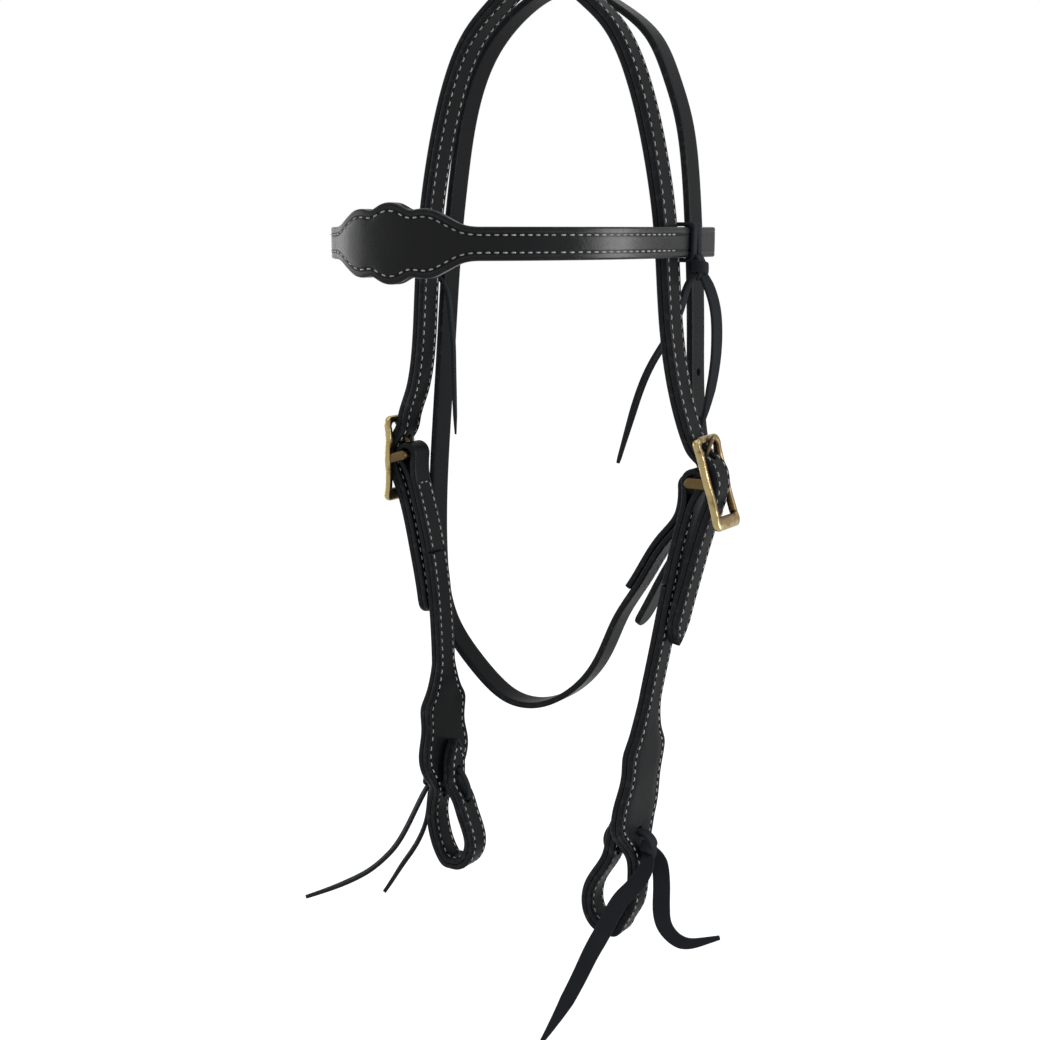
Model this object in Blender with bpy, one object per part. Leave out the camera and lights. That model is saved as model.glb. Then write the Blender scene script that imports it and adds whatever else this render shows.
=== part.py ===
"""Western headstall: crown, browband, throatlatch, two cheeks with tied bit loops, three cart buckles.

Metres, +Z up. The origin is on the underside of the crown, where it lies on the poll. +X is the
horse's left (near) side, -Y its forehead. Every strap is a ply swept along a route; plies that are
sewn together follow one route at different layers, so they share its stations and stay parallel.
A table of shares gives places as parts of the lengths named above it: across, back and down. The off
side is made on the near side and mirrored, so its tables and its buckle have positive X too.
"""
import math

import bmesh
import bpy
import numpy as np

X_AXIS = np.array((1.0, 0.0, 0.0))
Y_AXIS = np.array((0.0, 1.0, 0.0))
Z_AXIS = np.array((0.0, 0.0, 1.0))

# Leather
STRAP_WIDTH = 0.0160
PLY = 0.0033
THROAT_PLY = 0.0036
GAP = 0.0003
EDGE_ROUND = 0.0006
STACK = 2 * PLY + GAP
LAYER = (PLY + GAP) / 2
PLY_BUTT = 0.0010

# How finely the straps are divided
STATION = 0.0170
FINE_STATION = 0.0040
TURN = math.radians(11.0)
SPARE_SHARE = 0.2
END_CLEAR_SHARE = 1.05

# Crown strap, from the poll down to the cheek buckles
CROWN_SPREAD = 0.0843
CROWN_DROP = 0.2085
CROWN_SHIFT = 0.0080
POLL_FLAT = 0.0140
POLL_SLOPE = 0.05
CROWN_SHARES = (
    (0.196, 0.00, 0.008), (0.302, 0.00, 0.037), (0.508, 0.00, 0.112), (0.700, 0.00, 0.256),
    (0.832, 0.00, 0.448), (0.905, 0.00, 0.626), (0.947, 0.00, 0.832), (1.000, 0.19, 1.000),
)
NEAR_CROWN_END_SHARES = (1.045, 0.55, 1.095)
OFF_CROWN_END_SHARES = (1.070, 0.55, 1.075)
TAIL_LENGTH = 0.0715
TAIL_INSET = 0.0170
TAIL_SHARES = ((0.16, 0.02, 0.11), (0.60, -0.06, 0.50), (0.96, -0.20, 0.87), (1.05, -0.25, 1.00))
OFF_TAIL_SHARE = 1.035
POINT_LENGTH = 0.0130
ROUND_LENGTH = 0.0080
POINT_SHARES = ((0.0, 0.10), (0.16, 0.34), (0.50, 0.70), (1.0, 1.0))
ROUND_SHARES = ((0.0, 0.30), (0.10, 0.55), (0.30, 0.80), (0.60, 0.95), (1.0, 1.0))

# Cheek buckles
NEAR_BUCKLE_PLACE = (0.1051, 0.0080, -0.2593)
NEAR_BUCKLE_TILT = math.radians(17.1)
NEAR_BILLET_SAG = 0.0045
OFF_BUCKLE_PLACE = (0.1065, 0.0080, -0.2619)
OFF_BUCKLE_TILT = math.radians(1.1)
OFF_BILLET_SAG = 0.0003
CHEEK_BUCKLE_HEIGHT = 0.0515
CHEEK_BUCKLE_PLATE = 0.0075
CHEEK_BUCKLE_WIRE = 0.0040
CHEEK_BAR_RADIUS = 0.0020
CHEEK_BAR_RISE = 0.0030
BILLET_CROSSING = 0.0012
BILLET_CROSSING_SHARES = (0.5, 1.5)
BILLET_CREST = 0.0030
BILLET_LEE = 0.0010
BILLET_ROOM = 0.0004
BAR_START = math.radians(5.0)
CHEEK_BILLET_RISE = 0.0015
BUCKLE_SIDE_ROOM = 0.0005
BUCKLE_FLARE = 0.0013
BUCKLE_KNUCKLE = 0.0009
KNUCKLE_LENGTH = 0.0130
KNUCKLE_EASE = 0.0006
RAIL_WAIST_SHARE = 0.58
TOP_CORNER_RADIUS = 0.0050
BOTTOM_CORNER_RADIUS = 0.0040
INNER_CORNER_SHARES = (0.6, 0.3)
WIRE_ROUND = 0.0009
EAR_HEIGHT = 0.0055
EAR_WALL = 0.0008
EAR_ROUND = 0.0004
EAR_INSET = 0.0002
EAR_ARC = math.radians(100.0), math.radians(260.0)
BAR_REACH_SHARE = 0.7
TONGUE_EYE_WALL = 0.0013
TONGUE_THICKNESS = 0.0025
TONGUE_WIDTH = 0.0038
TONGUE_SWING = math.radians(5.0)
TONGUE_OVERHANG = 0.0012
TONGUE_ROUND = 0.00043
TONGUE_TIP_SHARES = ((-1.0, -1.0), (-0.35, -0.75), (0.0, 0.0), (-0.35, 0.75), (-1.0, 1.0))

# Throat buckle
THROAT_BUCKLE_PLACE = (0.0905, 0.0310, -0.2655)
THROAT_BUCKLE_TILT = math.radians(2.0)
THROAT_BUCKLE_HEIGHT = 0.0400
THROAT_BUCKLE_PLATE = 0.0060
THROAT_BUCKLE_WIRE = 0.0035
THROAT_BAR_RADIUS = 0.00175
THROAT_BILLET_RISE = 0.0005

# Folds round the buckle bars
CHEEK_LEAN = math.radians(15.2)
THROAT_LEAN = math.radians(17.6)
FOLD_JOIN = 0.0165
FOLD_WRAP = math.radians(22.0)
FOLD_TURN = math.radians(17.0)
SLOT_ROOM = 0.0006
CHEEK_SWING_IN = math.radians(8.0)
HOLE_ROOM = 0.0008

# Cheeks
CHEEK_TOP = (0.0955, 0.0080, -0.2616)
CHEEK_INSET = 0.0300
CHEEK_DROP = 0.2074
CHEEK_SHIFT = 0.0080
CHEEK_SHARES = (
    (0.350, 0.88, 0.176), (0.567, 0.88, 0.330), (0.747, 0.50, 0.498), (0.863, 0.00, 0.643),
    (0.910, -0.35, 0.787), (0.970, -0.60, 0.860), (1.003, -0.78, 0.920),
)
CHAPE_LENGTH = 0.0430
LOBE_WIDTH = 0.0435
LOBE_START_SHARE = 0.583
NEAR_LOBE_SHARES = (
    (0.583, 0.00), (0.643, 0.20), (0.690, 0.52), (0.720, 0.80), (0.745, 0.83), (0.780, 0.77),
    (0.815, 0.80), (0.860, 0.96), (0.889, 1.00), (0.925, 0.93), (0.965, 0.62), (1.020, 0.06),
)
OFF_LOBE_SHARES = (
    (0.583, 0.00), (0.630, 0.20), (0.673, 0.52), (0.701, 0.80), (0.723, 0.83), (0.750, 0.78),
    (0.778, 0.78), (0.815, 0.93), (0.841, 1.00), (0.872, 0.93), (0.910, 0.62), (0.965, 0.06),
)
LOOP_STRAP_WIDTH = 0.0150
PLY_FLUSH = 0.0003
LOOP_SET_BACK = 0.0070
LOOP_FLAT = 0.0050
NEAR_DESCENT_SHARES = ((0.965, 0.972), (0.885, 1.040), (0.890, 1.108), (0.985, 1.172), (1.140, 1.212))
NEAR_BOTTOM_SHARES = (1.400, 1.244)
NEAR_ASCENT_SHARES = (
    (1.680, 1.234), (1.825, 1.205), (1.865, 1.170), (1.800, 1.125), (1.620, 1.080), (1.430, 1.030),
    (1.335, 0.965),
)
NEAR_TIP_SHARE = 0.880
OFF_DESCENT_SHARES = ((0.930, 0.965), (0.840, 1.020), (0.870, 1.072), (0.960, 1.118), (1.090, 1.154))
OFF_BOTTOM_SHARES = (1.310, 1.170)
OFF_ASCENT_SHARES = (
    (1.550, 1.163), (1.710, 1.136), (1.770, 1.100), (1.710, 1.060), (1.580, 1.015), (1.430, 0.965),
)
OFF_TIP_SHARE = 0.802

# Holes and lace of the bit loop
TIE_HOLE_RADIUS = 0.0029
NEAR_HOLE_SHARES = (0.952, 1.020)
OFF_HOLE_SHARES = (0.894, 0.972)
LACE = 0.0022
LACE_WIDTH = 0.0100
LACE_IN_HOLE = 0.0036
LACE_STAND = 0.0009
LACE_TURN_SHARE = 0.20
KNOT_DOWN_SHARE = 0.18
BIT_KNOT_SIZES = (0.0056, 0.0130, 0.0125)
KNOT_POWER = 0.7

# Throat strap
THROAT_SPREAD = CROWN_SPREAD * 1.0546
THROAT_DROP = 0.4094
THROAT_SHIFT = 0.0310
THROAT_SHARES = (
    (0.745, 1.00, 0.734), (0.572, 0.98, 0.794), (0.403, 0.97, 0.852), (0.306, 0.95, 0.900),
    (0.222, 0.94, 0.933), (0.087, 0.90, 0.966), (-0.105, 0.84, 0.992),
    (-0.264, 0.83, 1.000), (-0.427, 0.84, 0.996), (-0.616, 0.85, 0.972), (-0.754, 0.85, 0.945),
    (-0.938, 0.84, 0.893), (-1.022, 0.83, 0.800), (-1.014, 0.81, 0.693), (-0.969, 0.77, 0.585),
    (-0.902, 0.70, 0.453), (-0.839, 0.69, 0.310), (-0.794, 0.69, 0.240), (-0.722, 0.71, 0.155),
    (-0.565, 0.74, 0.074), (-0.332, 0.79, 0.022), (-0.112, 0.84, -0.002), (0.112, 0.89, -0.002),
    (0.337, 0.94, 0.022), (0.579, 0.97, 0.065), (0.703, 0.98, 0.117), (0.782, 1.00, 0.168),
    (0.841, 1.00, 0.245), (0.874, 1.00, 0.342), (0.893, 1.00, 0.441), (0.900, 1.00, 0.508),
)
THROAT_CHAPE_LENGTH = 0.0570
THROAT_TAIL_LENGTH = 0.0700
THROAT_TAIL_INSET = 0.0395
THROAT_TAIL_SHARES = ((0.11, 0.0, 0.12), (0.52, 0.0, 0.50), (0.86, 0.0, 0.86), (1.00, 0.0, 1.00))
THROAT_HOLE_PITCH = 0.0265
THROAT_HOLE_RADIUS = 0.0022
SPARE_HOLE_STEPS = (-2, -1, 1)

# Browband
BROW_DOWN = 0.1332
BROW_BULGE = 0.1370
BROW_HALF = 0.0835
BROW_START = 0.0050
BROW_POWER = 2.3
BROW_LOBE_HEIGHT = 0.0389
BROW_LOBES_HALF = 0.0400
BROW_SHARES = (
    (0.000, 1.00), (0.060, 0.985), (0.130, 0.90), (0.200, 0.74), (0.250, 0.70), (0.320, 0.72),
    (0.400, 0.74), (0.480, 0.72), (0.560, 0.66), (0.650, 0.50), (0.750, 0.30), (0.860, 0.12),
    (1.000, 0.00),
)
BROW_RETURN = 0.0220
BROW_MERGE = 0.0170
CROWN_PLAY = 0.0018
NEAR_THROAT_PLAY = 0.0010
OFF_THROAT_PLAY = 0.0017
LOOP_END_ROOM = 0.0020
LOOP_END_SHARE = 1 / 3
BROW_STATION_SHARE = 0.55

# Laces round the browband loops
BROW_LACE_WIDTH = 0.0046
BROW_LACE_TAIL = 0.0070
BROW_LACE_GAP = 0.0006
BROW_RING_CORNER = 0.0018
BROW_KNOT_SIZES = (0.0085, 0.0105, 0.0110)
BROW_KNOT_SHARES = (0.2, 0.42)

# Tails of the laces, points chosen by hand as shares of the lace's reach: across, back, down
BIT_TAIL_REACH = 0.1000
BROW_TAIL_REACH = 0.1000
NEAR_BIT_TAIL_SHARES = (
    (0.000, -0.015, 0.005), (0.032, -0.070, 0.065), (0.014, -0.105, 0.125), (-0.028, -0.125, 0.190),
    (-0.081, -0.140, 0.255), (-0.131, -0.155, 0.345), (-0.178, -0.180, 0.460), (-0.236, -0.200, 0.583),
    (-0.290, -0.220, 0.715), (-0.403, -0.250, 0.966), (-0.539, -0.270, 1.218),
)
NEAR_BIT_SHORT_SHARES = (
    (0.000, 0.015, -0.005), (0.039, 0.045, 0.060), (0.057, 0.055, 0.150), (0.054, 0.070, 0.250),
    (0.046, 0.085, 0.350), (0.045, 0.105, 0.448), (0.059, 0.140, 0.525), (0.133, 0.190, 0.600),
    (0.230, 0.250, 0.593), (0.318, 0.290, 0.563),
)
OFF_BIT_TAIL_SHARES = (
    (0.005, -0.015, 0.005), (0.070, -0.020, 0.125), (0.131, -0.040, 0.260), (0.150, -0.080, 0.330),
    (0.180, -0.155, 0.422), (0.214, -0.210, 0.477), (0.261, -0.270, 0.531), (0.343, -0.340, 0.590),
    (0.471, -0.420, 0.656), (0.605, -0.490, 0.714),
)
OFF_BIT_SHORT_SHARES = (
    (0.005, 0.015, 0.005), (0.035, 0.020, 0.115), (0.050, 0.010, 0.260), (0.078, -0.030, 0.381),
    (0.100, -0.060, 0.439), (0.125, -0.100, 0.496), (0.149, -0.140, 0.552), (0.170, -0.180, 0.608),
    (0.202, -0.230, 0.682),
)
NEAR_BROW_LONG_SHARES = (
    (0.000, 0.000, 0.000), (0.050, 0.020, 0.100), (0.085, 0.035, 0.230), (0.090, 0.045, 0.340),
    (0.085, 0.045, 0.500), (0.068, 0.028, 0.660), (0.036, 0.030, 0.790), (0.014, 0.028, 0.860),
)
NEAR_BROW_INNER_SHARES = (
    (-0.010, -0.010, 0.010), (-0.065, -0.012, 0.105), (-0.090, -0.014, 0.190), (-0.160, -0.014, 0.350),
    (-0.262, -0.014, 0.510), (-0.342, -0.014, 0.680), (-0.395, -0.020, 0.850), (-0.460, -0.030, 1.080),
)
OFF_BROW_INNER_SHARES = (
    (-0.010, 0.000, 0.010), (-0.110, 0.002, 0.080), (-0.158, 0.006, 0.160), (-0.170, 0.020, 0.290),
    (-0.172, 0.040, 0.430), (-0.174, 0.045, 0.600), (-0.178, 0.045, 0.800), (-0.186, 0.040, 1.000),
)
NEAR_BIT_TAIL_WAYS = (0.90, 0.43, 0.0), (0.85, 0.52, 0.0)
OFF_BIT_TAIL_WAYS = (0.60, 0.80, 0.0), (0.60, 0.80, 0.0)
BROW_TAIL_WAYS = (0.35, 0.94, 0.0), (0.0, 1.0, 0.0)
TAIL_TAPER_SHARES = ((0.00, 0.62), (0.12, 0.95), (0.45, 1.00), (0.75, 0.85), (1.00, 0.22))


def clear_scene():
    """Remove whatever the file already holds."""
    for item in list(bpy.data.objects):
        bpy.data.objects.remove(item, do_unlink=True)


def make_material(name, colour, roughness, metallic):
    """A plain principled material."""
    material = bpy.data.materials.new(name)
    material.use_nodes = True
    shader = material.node_tree.nodes["Principled BSDF"]
    shader.inputs["Base Color"].default_value = (*colour, 1.0)
    shader.inputs["Roughness"].default_value = roughness
    shader.inputs["Metallic"].default_value = metallic
    material.diffuse_color = (*colour, 1.0)
    return material


def leather(name):
    """Each leather piece has a material of its own."""
    return make_material(name + "_leather", (0.022, 0.024, 0.027), 0.42, 0.0)


def lace_leather(name):
    """Laces are matt and a little greyer."""
    return make_material(name + "_lace", (0.028, 0.033, 0.038), 0.70, 0.0)


def brass(name):
    """Antiqued brass."""
    return make_material(name + "_brass", (0.55, 0.38, 0.16), 0.32, 1.0)


def unit(vector):
    """The vector at length one."""
    return vector / np.linalg.norm(vector)


def lengths(route):
    """Distance of each station from the start of the route."""
    steps = np.linalg.norm(np.diff(route, axis=0), axis=1)
    return np.concatenate(((0.0,), np.cumsum(steps)))


def at(route, distances):
    """Points of the route at the given distances from its start."""
    ruler = lengths(route)
    return np.stack([np.interp(distances, ruler, route[:, axis]) for axis in range(3)], axis=1)


def knot_slopes(times, knots, first, last):
    """Slopes at the knots of the cubic curve that bends without a break."""
    count = len(knots)
    matrix = np.zeros((count, count))
    right = np.zeros((count, 3))
    steps = np.diff(times)
    rises = np.diff(knots, axis=0)
    for index in range(1, count - 1):
        before, after = steps[index - 1], steps[index]
        matrix[index, index - 1] = 1 / before
        matrix[index, index] = 2 / before + 2 / after
        matrix[index, index + 1] = 1 / after
        right[index] = 3 * (rises[index - 1] / before**2 + rises[index] / after**2)
    if first is None:
        matrix[0, :2] = (2, 1)
        right[0] = 3 * rises[0] / steps[0]
    else:
        matrix[0, 0] = 1
        right[0] = unit(np.array(first))
    if last is None:
        matrix[-1, -2:] = (1, 2)
        right[-1] = 3 * rises[-1] / steps[-1]
    else:
        matrix[-1, -1] = 1
        right[-1] = unit(np.array(last))
    return np.linalg.solve(matrix, right)


def smooth(knots, spacing=STATION, first=None, last=None):
    """Stations of a smooth curve through the knots, closer together where it turns."""
    knots = np.array(knots, dtype=float)
    times = lengths(knots)
    slopes = knot_slopes(times, knots, first, last)
    stations = [knots[0]]
    for index, span in enumerate(np.diff(times)):
        def place(share):
            s = np.asarray(share)[:, None]
            start = (1 + 2 * s) * (1 - s) ** 2 * knots[index] + s * (1 - s) ** 2 * span * slopes[index]
            end = s**2 * (3 - 2 * s) * knots[index + 1] + s**2 * (s - 1) * span * slopes[index + 1]
            return start + end
        probe = np.diff(place(np.linspace(0, 1, 13)), axis=0)
        probe = probe / np.linalg.norm(probe, axis=1)[:, None]
        cosines = np.clip((probe[1:] * probe[:-1]).sum(axis=1), -1, 1)
        pieces = max(1, math.ceil(span / spacing - SPARE_SHARE),
                     math.ceil(np.arccos(cosines).sum() / TURN - SPARE_SHARE))
        stations.extend(place(np.linspace(0, 1, pieces + 1)[1:]))
    return np.array(stations)


def normals(route, side):
    """Across the ply at each station, mitred so that layers keep their distance."""
    flats = np.cross(np.diff(route, axis=0), side)
    flats = flats / np.linalg.norm(flats, axis=1)[:, None]
    before = np.concatenate((flats[:1], flats))
    after = np.concatenate((flats, flats[-1:]))
    cosines = (before * after).sum(axis=1)[:, None]
    return (before + after) / (1 + cosines)


def layer(route, distance, side=Y_AXIS):
    """The same route, moved across the ply."""
    return route + normals(route, side) * distance


def with_end(route, half_widths, length, shares):
    """Shape the end of a strap: cut its last stretch anew and narrow it by the shares."""
    ruler = lengths(route)
    total = ruler[-1]
    body = ruler[ruler < total - length * END_CLEAR_SHARE]
    tips = [total - length * place for place, _ in reversed(shares)]
    distances = np.concatenate((body, tips))
    widths = np.interp(distances, ruler, half_widths)
    narrowing = np.ones(len(distances))
    narrowing[len(body):] = [share for _, share in reversed(shares)]
    return at(route, distances), widths * narrowing


def section(half_width, half_thickness, rounding):
    """Corners of a ply's cross-section, its long edges rounded: along the width, across the ply."""
    cut = min(rounding, half_width / 2, half_thickness / 2)
    w, t = half_width, half_thickness
    return ((-w + cut, t), (w - cut, t), (w, t - cut), (w, -t + cut),
            (w - cut, -t), (-w + cut, -t), (-w, -t + cut), (-w, t - cut))


def plain_section(half_width, half_thickness, rounding):
    """The same with the inner edges left square, for a ply that is sewn to another."""
    cut = min(rounding, half_width / 2, half_thickness / 2)
    w, t = half_width, half_thickness
    return ((-w + cut, t), (w - cut, t), (w, t - cut), (w, -t), (-w, -t), (-w, t - cut))


def sweep(rings, closed=False):
    """Vertices and faces of a solid through rings of equal corner counts."""
    count = len(rings[0])
    vertices = [corner for ring in rings for corner in ring]
    faces = []
    last = len(rings) if closed else len(rings) - 1
    for index in range(last):
        here = index * count
        there = (index + 1) % len(rings) * count
        for corner in range(count):
            after = (corner + 1) % count
            faces.append((here + corner, here + after, there + after, there + corner))
    if not closed:
        faces.append(tuple(range(count)))
        faces.append(tuple(range(len(vertices) - count, len(vertices))))
    return vertices, faces


def strap(route, half_widths, thickness, side=Y_AXIS, profile=section, flip=False):
    """A ply along its route. The profile's outer side faces along the normals, or against them."""
    half_widths = np.broadcast_to(half_widths, len(route))
    across = normals(route, side)
    sign = -1 if flip else 1
    rings = []
    for place, normal, half in zip(route, across, half_widths):
        corners = profile(half, thickness / 2, EDGE_ROUND)
        rings.append([place + side * w + normal * t * sign for w, t in corners])
    return sweep(rings)


def lace_section(half_width, half_thickness):
    """A lace is cut square."""
    w, t = half_width, half_thickness
    return (-w, t), (w, t), (w, -t), (-w, -t)


def lace(route, widths, thickness, width_ways):
    """A lace: a narrow ribbon whose width points the way given at each station."""
    tangents = np.gradient(route, axis=0)
    rings = []
    for place, tangent, width, way in zip(route, tangents, widths, width_ways):
        along = unit(tangent)
        side = unit(way - along * np.dot(way, along))
        normal = np.cross(along, side)
        corners = lace_section(width / 2, thickness / 2)
        rings.append([place + side * w + normal * t for w, t in corners])
    return sweep(rings)


def mesh_object(name, shape, material, pivot=(0, 0, 0), mirrored=False, soft=True):
    """An object from vertices and faces, with its origin at the pivot."""
    vertices, faces = shape
    turn = np.array((-1.0, 1.0, 1.0)) if mirrored else np.ones(3)
    origin = np.array(pivot, dtype=float) * turn
    points = [tuple(np.array(vertex) * turn - origin) for vertex in vertices]
    mesh = bpy.data.meshes.new(name)
    mesh.from_pydata(points, [], faces)
    shell = bmesh.new()
    shell.from_mesh(mesh)
    bmesh.ops.recalc_face_normals(shell, faces=shell.faces)
    if shell.calc_volume(signed=True) < 0:
        bmesh.ops.reverse_faces(shell, faces=shell.faces)
    shell.to_mesh(mesh)
    shell.free()
    for face in mesh.polygons:
        face.use_smooth = soft
    item = bpy.data.objects.new(name, mesh)
    item.location = origin
    bpy.context.scene.collection.objects.link(item)
    if material:
        mesh.materials.append(material)
    return item


def helper(name, shape, mirrored=False):
    """A cutter or filler that only serves a modifier."""
    item = mesh_object(name, shape, None, mirrored=mirrored, soft=False)
    item.hide_render = True
    item.display_type = "WIRE"
    return item


def combine(item, other, operation):
    """Cut the other solid away, or join it on."""
    modifier = item.modifiers.new(operation.lower() + "_" + other.name, "BOOLEAN")
    modifier.operation = operation
    modifier.solver = "EXACT"
    modifier.object = other


def bevel_edges(item, width, segments=1):
    """Round the sharp edges."""
    modifier = item.modifiers.new("rounding", "BEVEL")
    modifier.width = width
    modifier.segments = segments
    modifier.limit_method = "ANGLE"
    modifier.angle_limit = math.radians(40)


def empty(name, pivot, mirrored=False):
    """An empty on a joint's axis, for the pieces that swing together."""
    item = bpy.data.objects.new(name, None)
    item.location = np.array(pivot) * ((-1, 1, 1) if mirrored else (1, 1, 1))
    bpy.context.scene.collection.objects.link(item)
    return item


def adopt(parent, children):
    """Hang pieces that share the parent's origin under it."""
    for child in children:
        child.parent = parent
        child.location = (0, 0, 0)


def disc(radius, count, start=0.0):
    """Points round a circle."""
    turns = [start + 2 * math.pi * index / count for index in range(count)]
    return [(radius * math.cos(turn), radius * math.sin(turn)) for turn in turns]


def prism(outline, centre, first, second, third, near, far):
    """A prism on an outline given in the first two directions, from near to far along the third."""
    rings = []
    for depth in (near, far):
        rings.append([centre + first * a + second * b + third * depth for a, b in outline])
    return sweep(rings)


def stadium(length, width, count=6):
    """A slot's outline, long along its first direction."""
    radius = width / 2
    reach = max(length / 2 - radius, 0.0)
    points = []
    for end in (1, -1):
        for index in range(count + 1):
            turn = -math.pi / 2 + math.pi * index / count
            points.append((end * (reach + radius * math.cos(turn)), end * radius * math.sin(turn)))
    return points


def ball(centre, sizes, rings=6, sides=10):
    """A rounded lump, squarer than an ellipsoid, for a knot."""
    half = np.array(sizes) / 2
    vertices = [centre + half * Z_AXIS]
    for ring in range(1, rings):
        rise = math.cos(math.pi * ring / rings)
        reach = math.sin(math.pi * ring / rings) ** KNOT_POWER
        for side in range(sides):
            turn = 2 * math.pi * side / sides
            way = np.array((math.cos(turn), math.sin(turn)))
            round_way = np.sign(way) * np.abs(way) ** KNOT_POWER * reach
            vertices.append(centre + half * np.array((round_way[0], round_way[1], rise)))
    vertices.append(centre - half * Z_AXIS)
    faces = []
    bottom = len(vertices) - 1
    for side in range(sides):
        after = (side + 1) % sides
        faces.append((0, 1 + side, 1 + after))
        faces.append((bottom, bottom - sides + after, bottom - sides + side))
        for ring in range(rings - 2):
            here = 1 + ring * sides
            faces.append((here + side, here + sides + side, here + sides + after, here + after))
    return vertices, faces


class Buckle:
    """A cart buckle in its own plane. Out leads away from the horse, up along its rails."""

    def __init__(self, place, tilt, sizes, bar_radius, bar_rise, rise, sag, ply, billet, lean):
        self.out = np.array((math.cos(tilt), 0.0, math.sin(tilt)))
        self.up = np.array((-math.sin(tilt), 0.0, math.cos(tilt)))
        self.centre = np.array(place)
        self.height, self.plate, self.wire = sizes
        self.bar_radius, self.bar_rise, self.rise, self.sag = bar_radius, bar_rise, rise, sag
        self.ply, self.billet = ply, billet
        self.eye_radius = bar_radius + GAP + TONGUE_EYE_WALL
        self.fold_radius = self.eye_radius + GAP + ply / 2
        self.drop = self.fold_radius + ply / 2 + GAP + BILLET_ROOM + billet / 2 - rise
        self.bar = self.point(-self.drop, bar_rise)
        self.behind = self.wire / 2 + GAP + billet / 2
        self.half_room = STRAP_WIDTH / 2 + BUCKLE_SIDE_ROOM
        self.down = np.array((-math.sin(lean), 0.0, -math.cos(lean)))
        rest_out = self.wire / 2 + self.drop
        rest_up = self.height / 2 - self.wire + WIRE_ROUND - bar_rise
        reach = math.hypot(rest_out, rest_up)
        self.tongue_angle = math.atan2(rest_out, rest_up) + math.asin((TONGUE_THICKNESS / 2 + GAP) / reach)
        self.tongue_length = reach + self.wire / 2 + TONGUE_OVERHANG

    def point(self, out, up, along=0.0):
        """A place given in the buckle's plane."""
        return self.centre + self.out * out + self.up * up + Y_AXIS * along

    def tongue_way(self, swing=0.0):
        """Direction of the tongue from the bar."""
        turn = self.tongue_angle + swing
        return self.out * math.sin(turn) + self.up * math.cos(turn)

    def billet_knots(self):
        """The billet crosses behind the top bar, over the fold and inside the bottom plate."""
        half = self.height / 2
        upper, lower = BILLET_CROSSING_SHARES
        return [
            self.point(-self.behind - BILLET_CROSSING, half - self.wire * upper),
            self.point(-self.behind - GAP, half - self.wire * lower),
            self.point(self.rise, self.bar_rise + BILLET_CREST),
            self.point(self.rise, self.bar_rise - BILLET_LEE),
            self.point(-self.behind - self.sag, -half + self.plate),
        ]

    def fold(self):
        """Stations of the ply's fold round the bar, from the inner leg over the top to the outer."""
        outward = np.cross(self.down, Y_AXIS)
        spread = (self.ply + GAP) / 2
        count = math.ceil((math.pi + 2 * FOLD_WRAP) / FOLD_TURN)
        turns = np.linspace(math.pi + FOLD_WRAP, -FOLD_WRAP, count + 1)
        radius = self.fold_radius
        wrap = [self.bar + outward * radius * math.cos(turn) - self.down * radius * math.sin(turn)
                for turn in turns]
        join = self.bar + self.down * FOLD_JOIN
        leave = outward * -math.sin(FOLD_WRAP) + self.down * math.cos(FOLD_WRAP)
        outer = smooth((wrap[-1], join + outward * spread), FINE_STATION, leave, self.down)
        arrive = outward * -math.sin(FOLD_WRAP) - self.down * math.cos(FOLD_WRAP)
        inner = smooth((join - outward * spread, wrap[0]), FINE_STATION, -self.down, arrive)
        return np.concatenate((inner[1:-1], wrap, outer[1:-1]))

    def join_point(self):
        """Where the outer leg of the fold becomes the strap."""
        outward = np.cross(self.down, Y_AXIS)
        return self.bar + self.down * FOLD_JOIN + outward * (self.ply + GAP) / 2


def frame_ring(buckle):
    """Outer and inner outline of a buckle frame, rails waisted and with a knuckle at the bar."""
    half = buckle.height / 2
    inner_waist = buckle.half_room
    inner_end = inner_waist + BUCKLE_FLARE
    outer_end = inner_end + buckle.wire
    outer, inner = [], []

    def corner(radius, sign_y, sign_z, outer_z, inner_z, start):
        by_wire, least = INNER_CORNER_SHARES
        inner_radius = max(radius - buckle.wire * by_wire, radius * least)
        for index in range(5):
            turn = math.radians(start + 22.5 * index)
            step_y, step_z = math.cos(turn), math.sin(turn)
            outer.append((sign_y * (outer_end - radius) + radius * step_y,
                          sign_z * (outer_z - radius) + radius * step_z))
            inner.append((sign_y * (inner_end - inner_radius) + inner_radius * step_y,
                          sign_z * (inner_z - inner_radius) + inner_radius * step_z))

    def rail(sign, heights):
        for height in heights:
            share = abs(height) / half
            flare = BUCKLE_FLARE * share**2
            bump = BUCKLE_KNUCKLE * (abs(height) < KNUCKLE_LENGTH / 2)
            outer.append((sign * (inner_waist + buckle.wire + flare + bump), height))
            inner.append((sign * (inner_waist + flare), height))

    knuckle = KNUCKLE_LENGTH / 2
    marks = (half * RAIL_WAIST_SHARE, knuckle + KNUCKLE_EASE, knuckle - KNUCKLE_EASE)
    heights = [-marks[0], -marks[1], -marks[2], marks[2], marks[1], marks[0]]
    rail(1, heights)
    corner(TOP_CORNER_RADIUS, 1, 1, half, half - buckle.wire, 0)
    corner(TOP_CORNER_RADIUS, -1, 1, half, half - buckle.wire, 90)
    rail(-1, reversed(heights))
    corner(BOTTOM_CORNER_RADIUS, -1, -1, half, half - buckle.plate, 180)
    corner(BOTTOM_CORNER_RADIUS, 1, -1, half, half - buckle.plate, 270)
    return outer, inner


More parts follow.
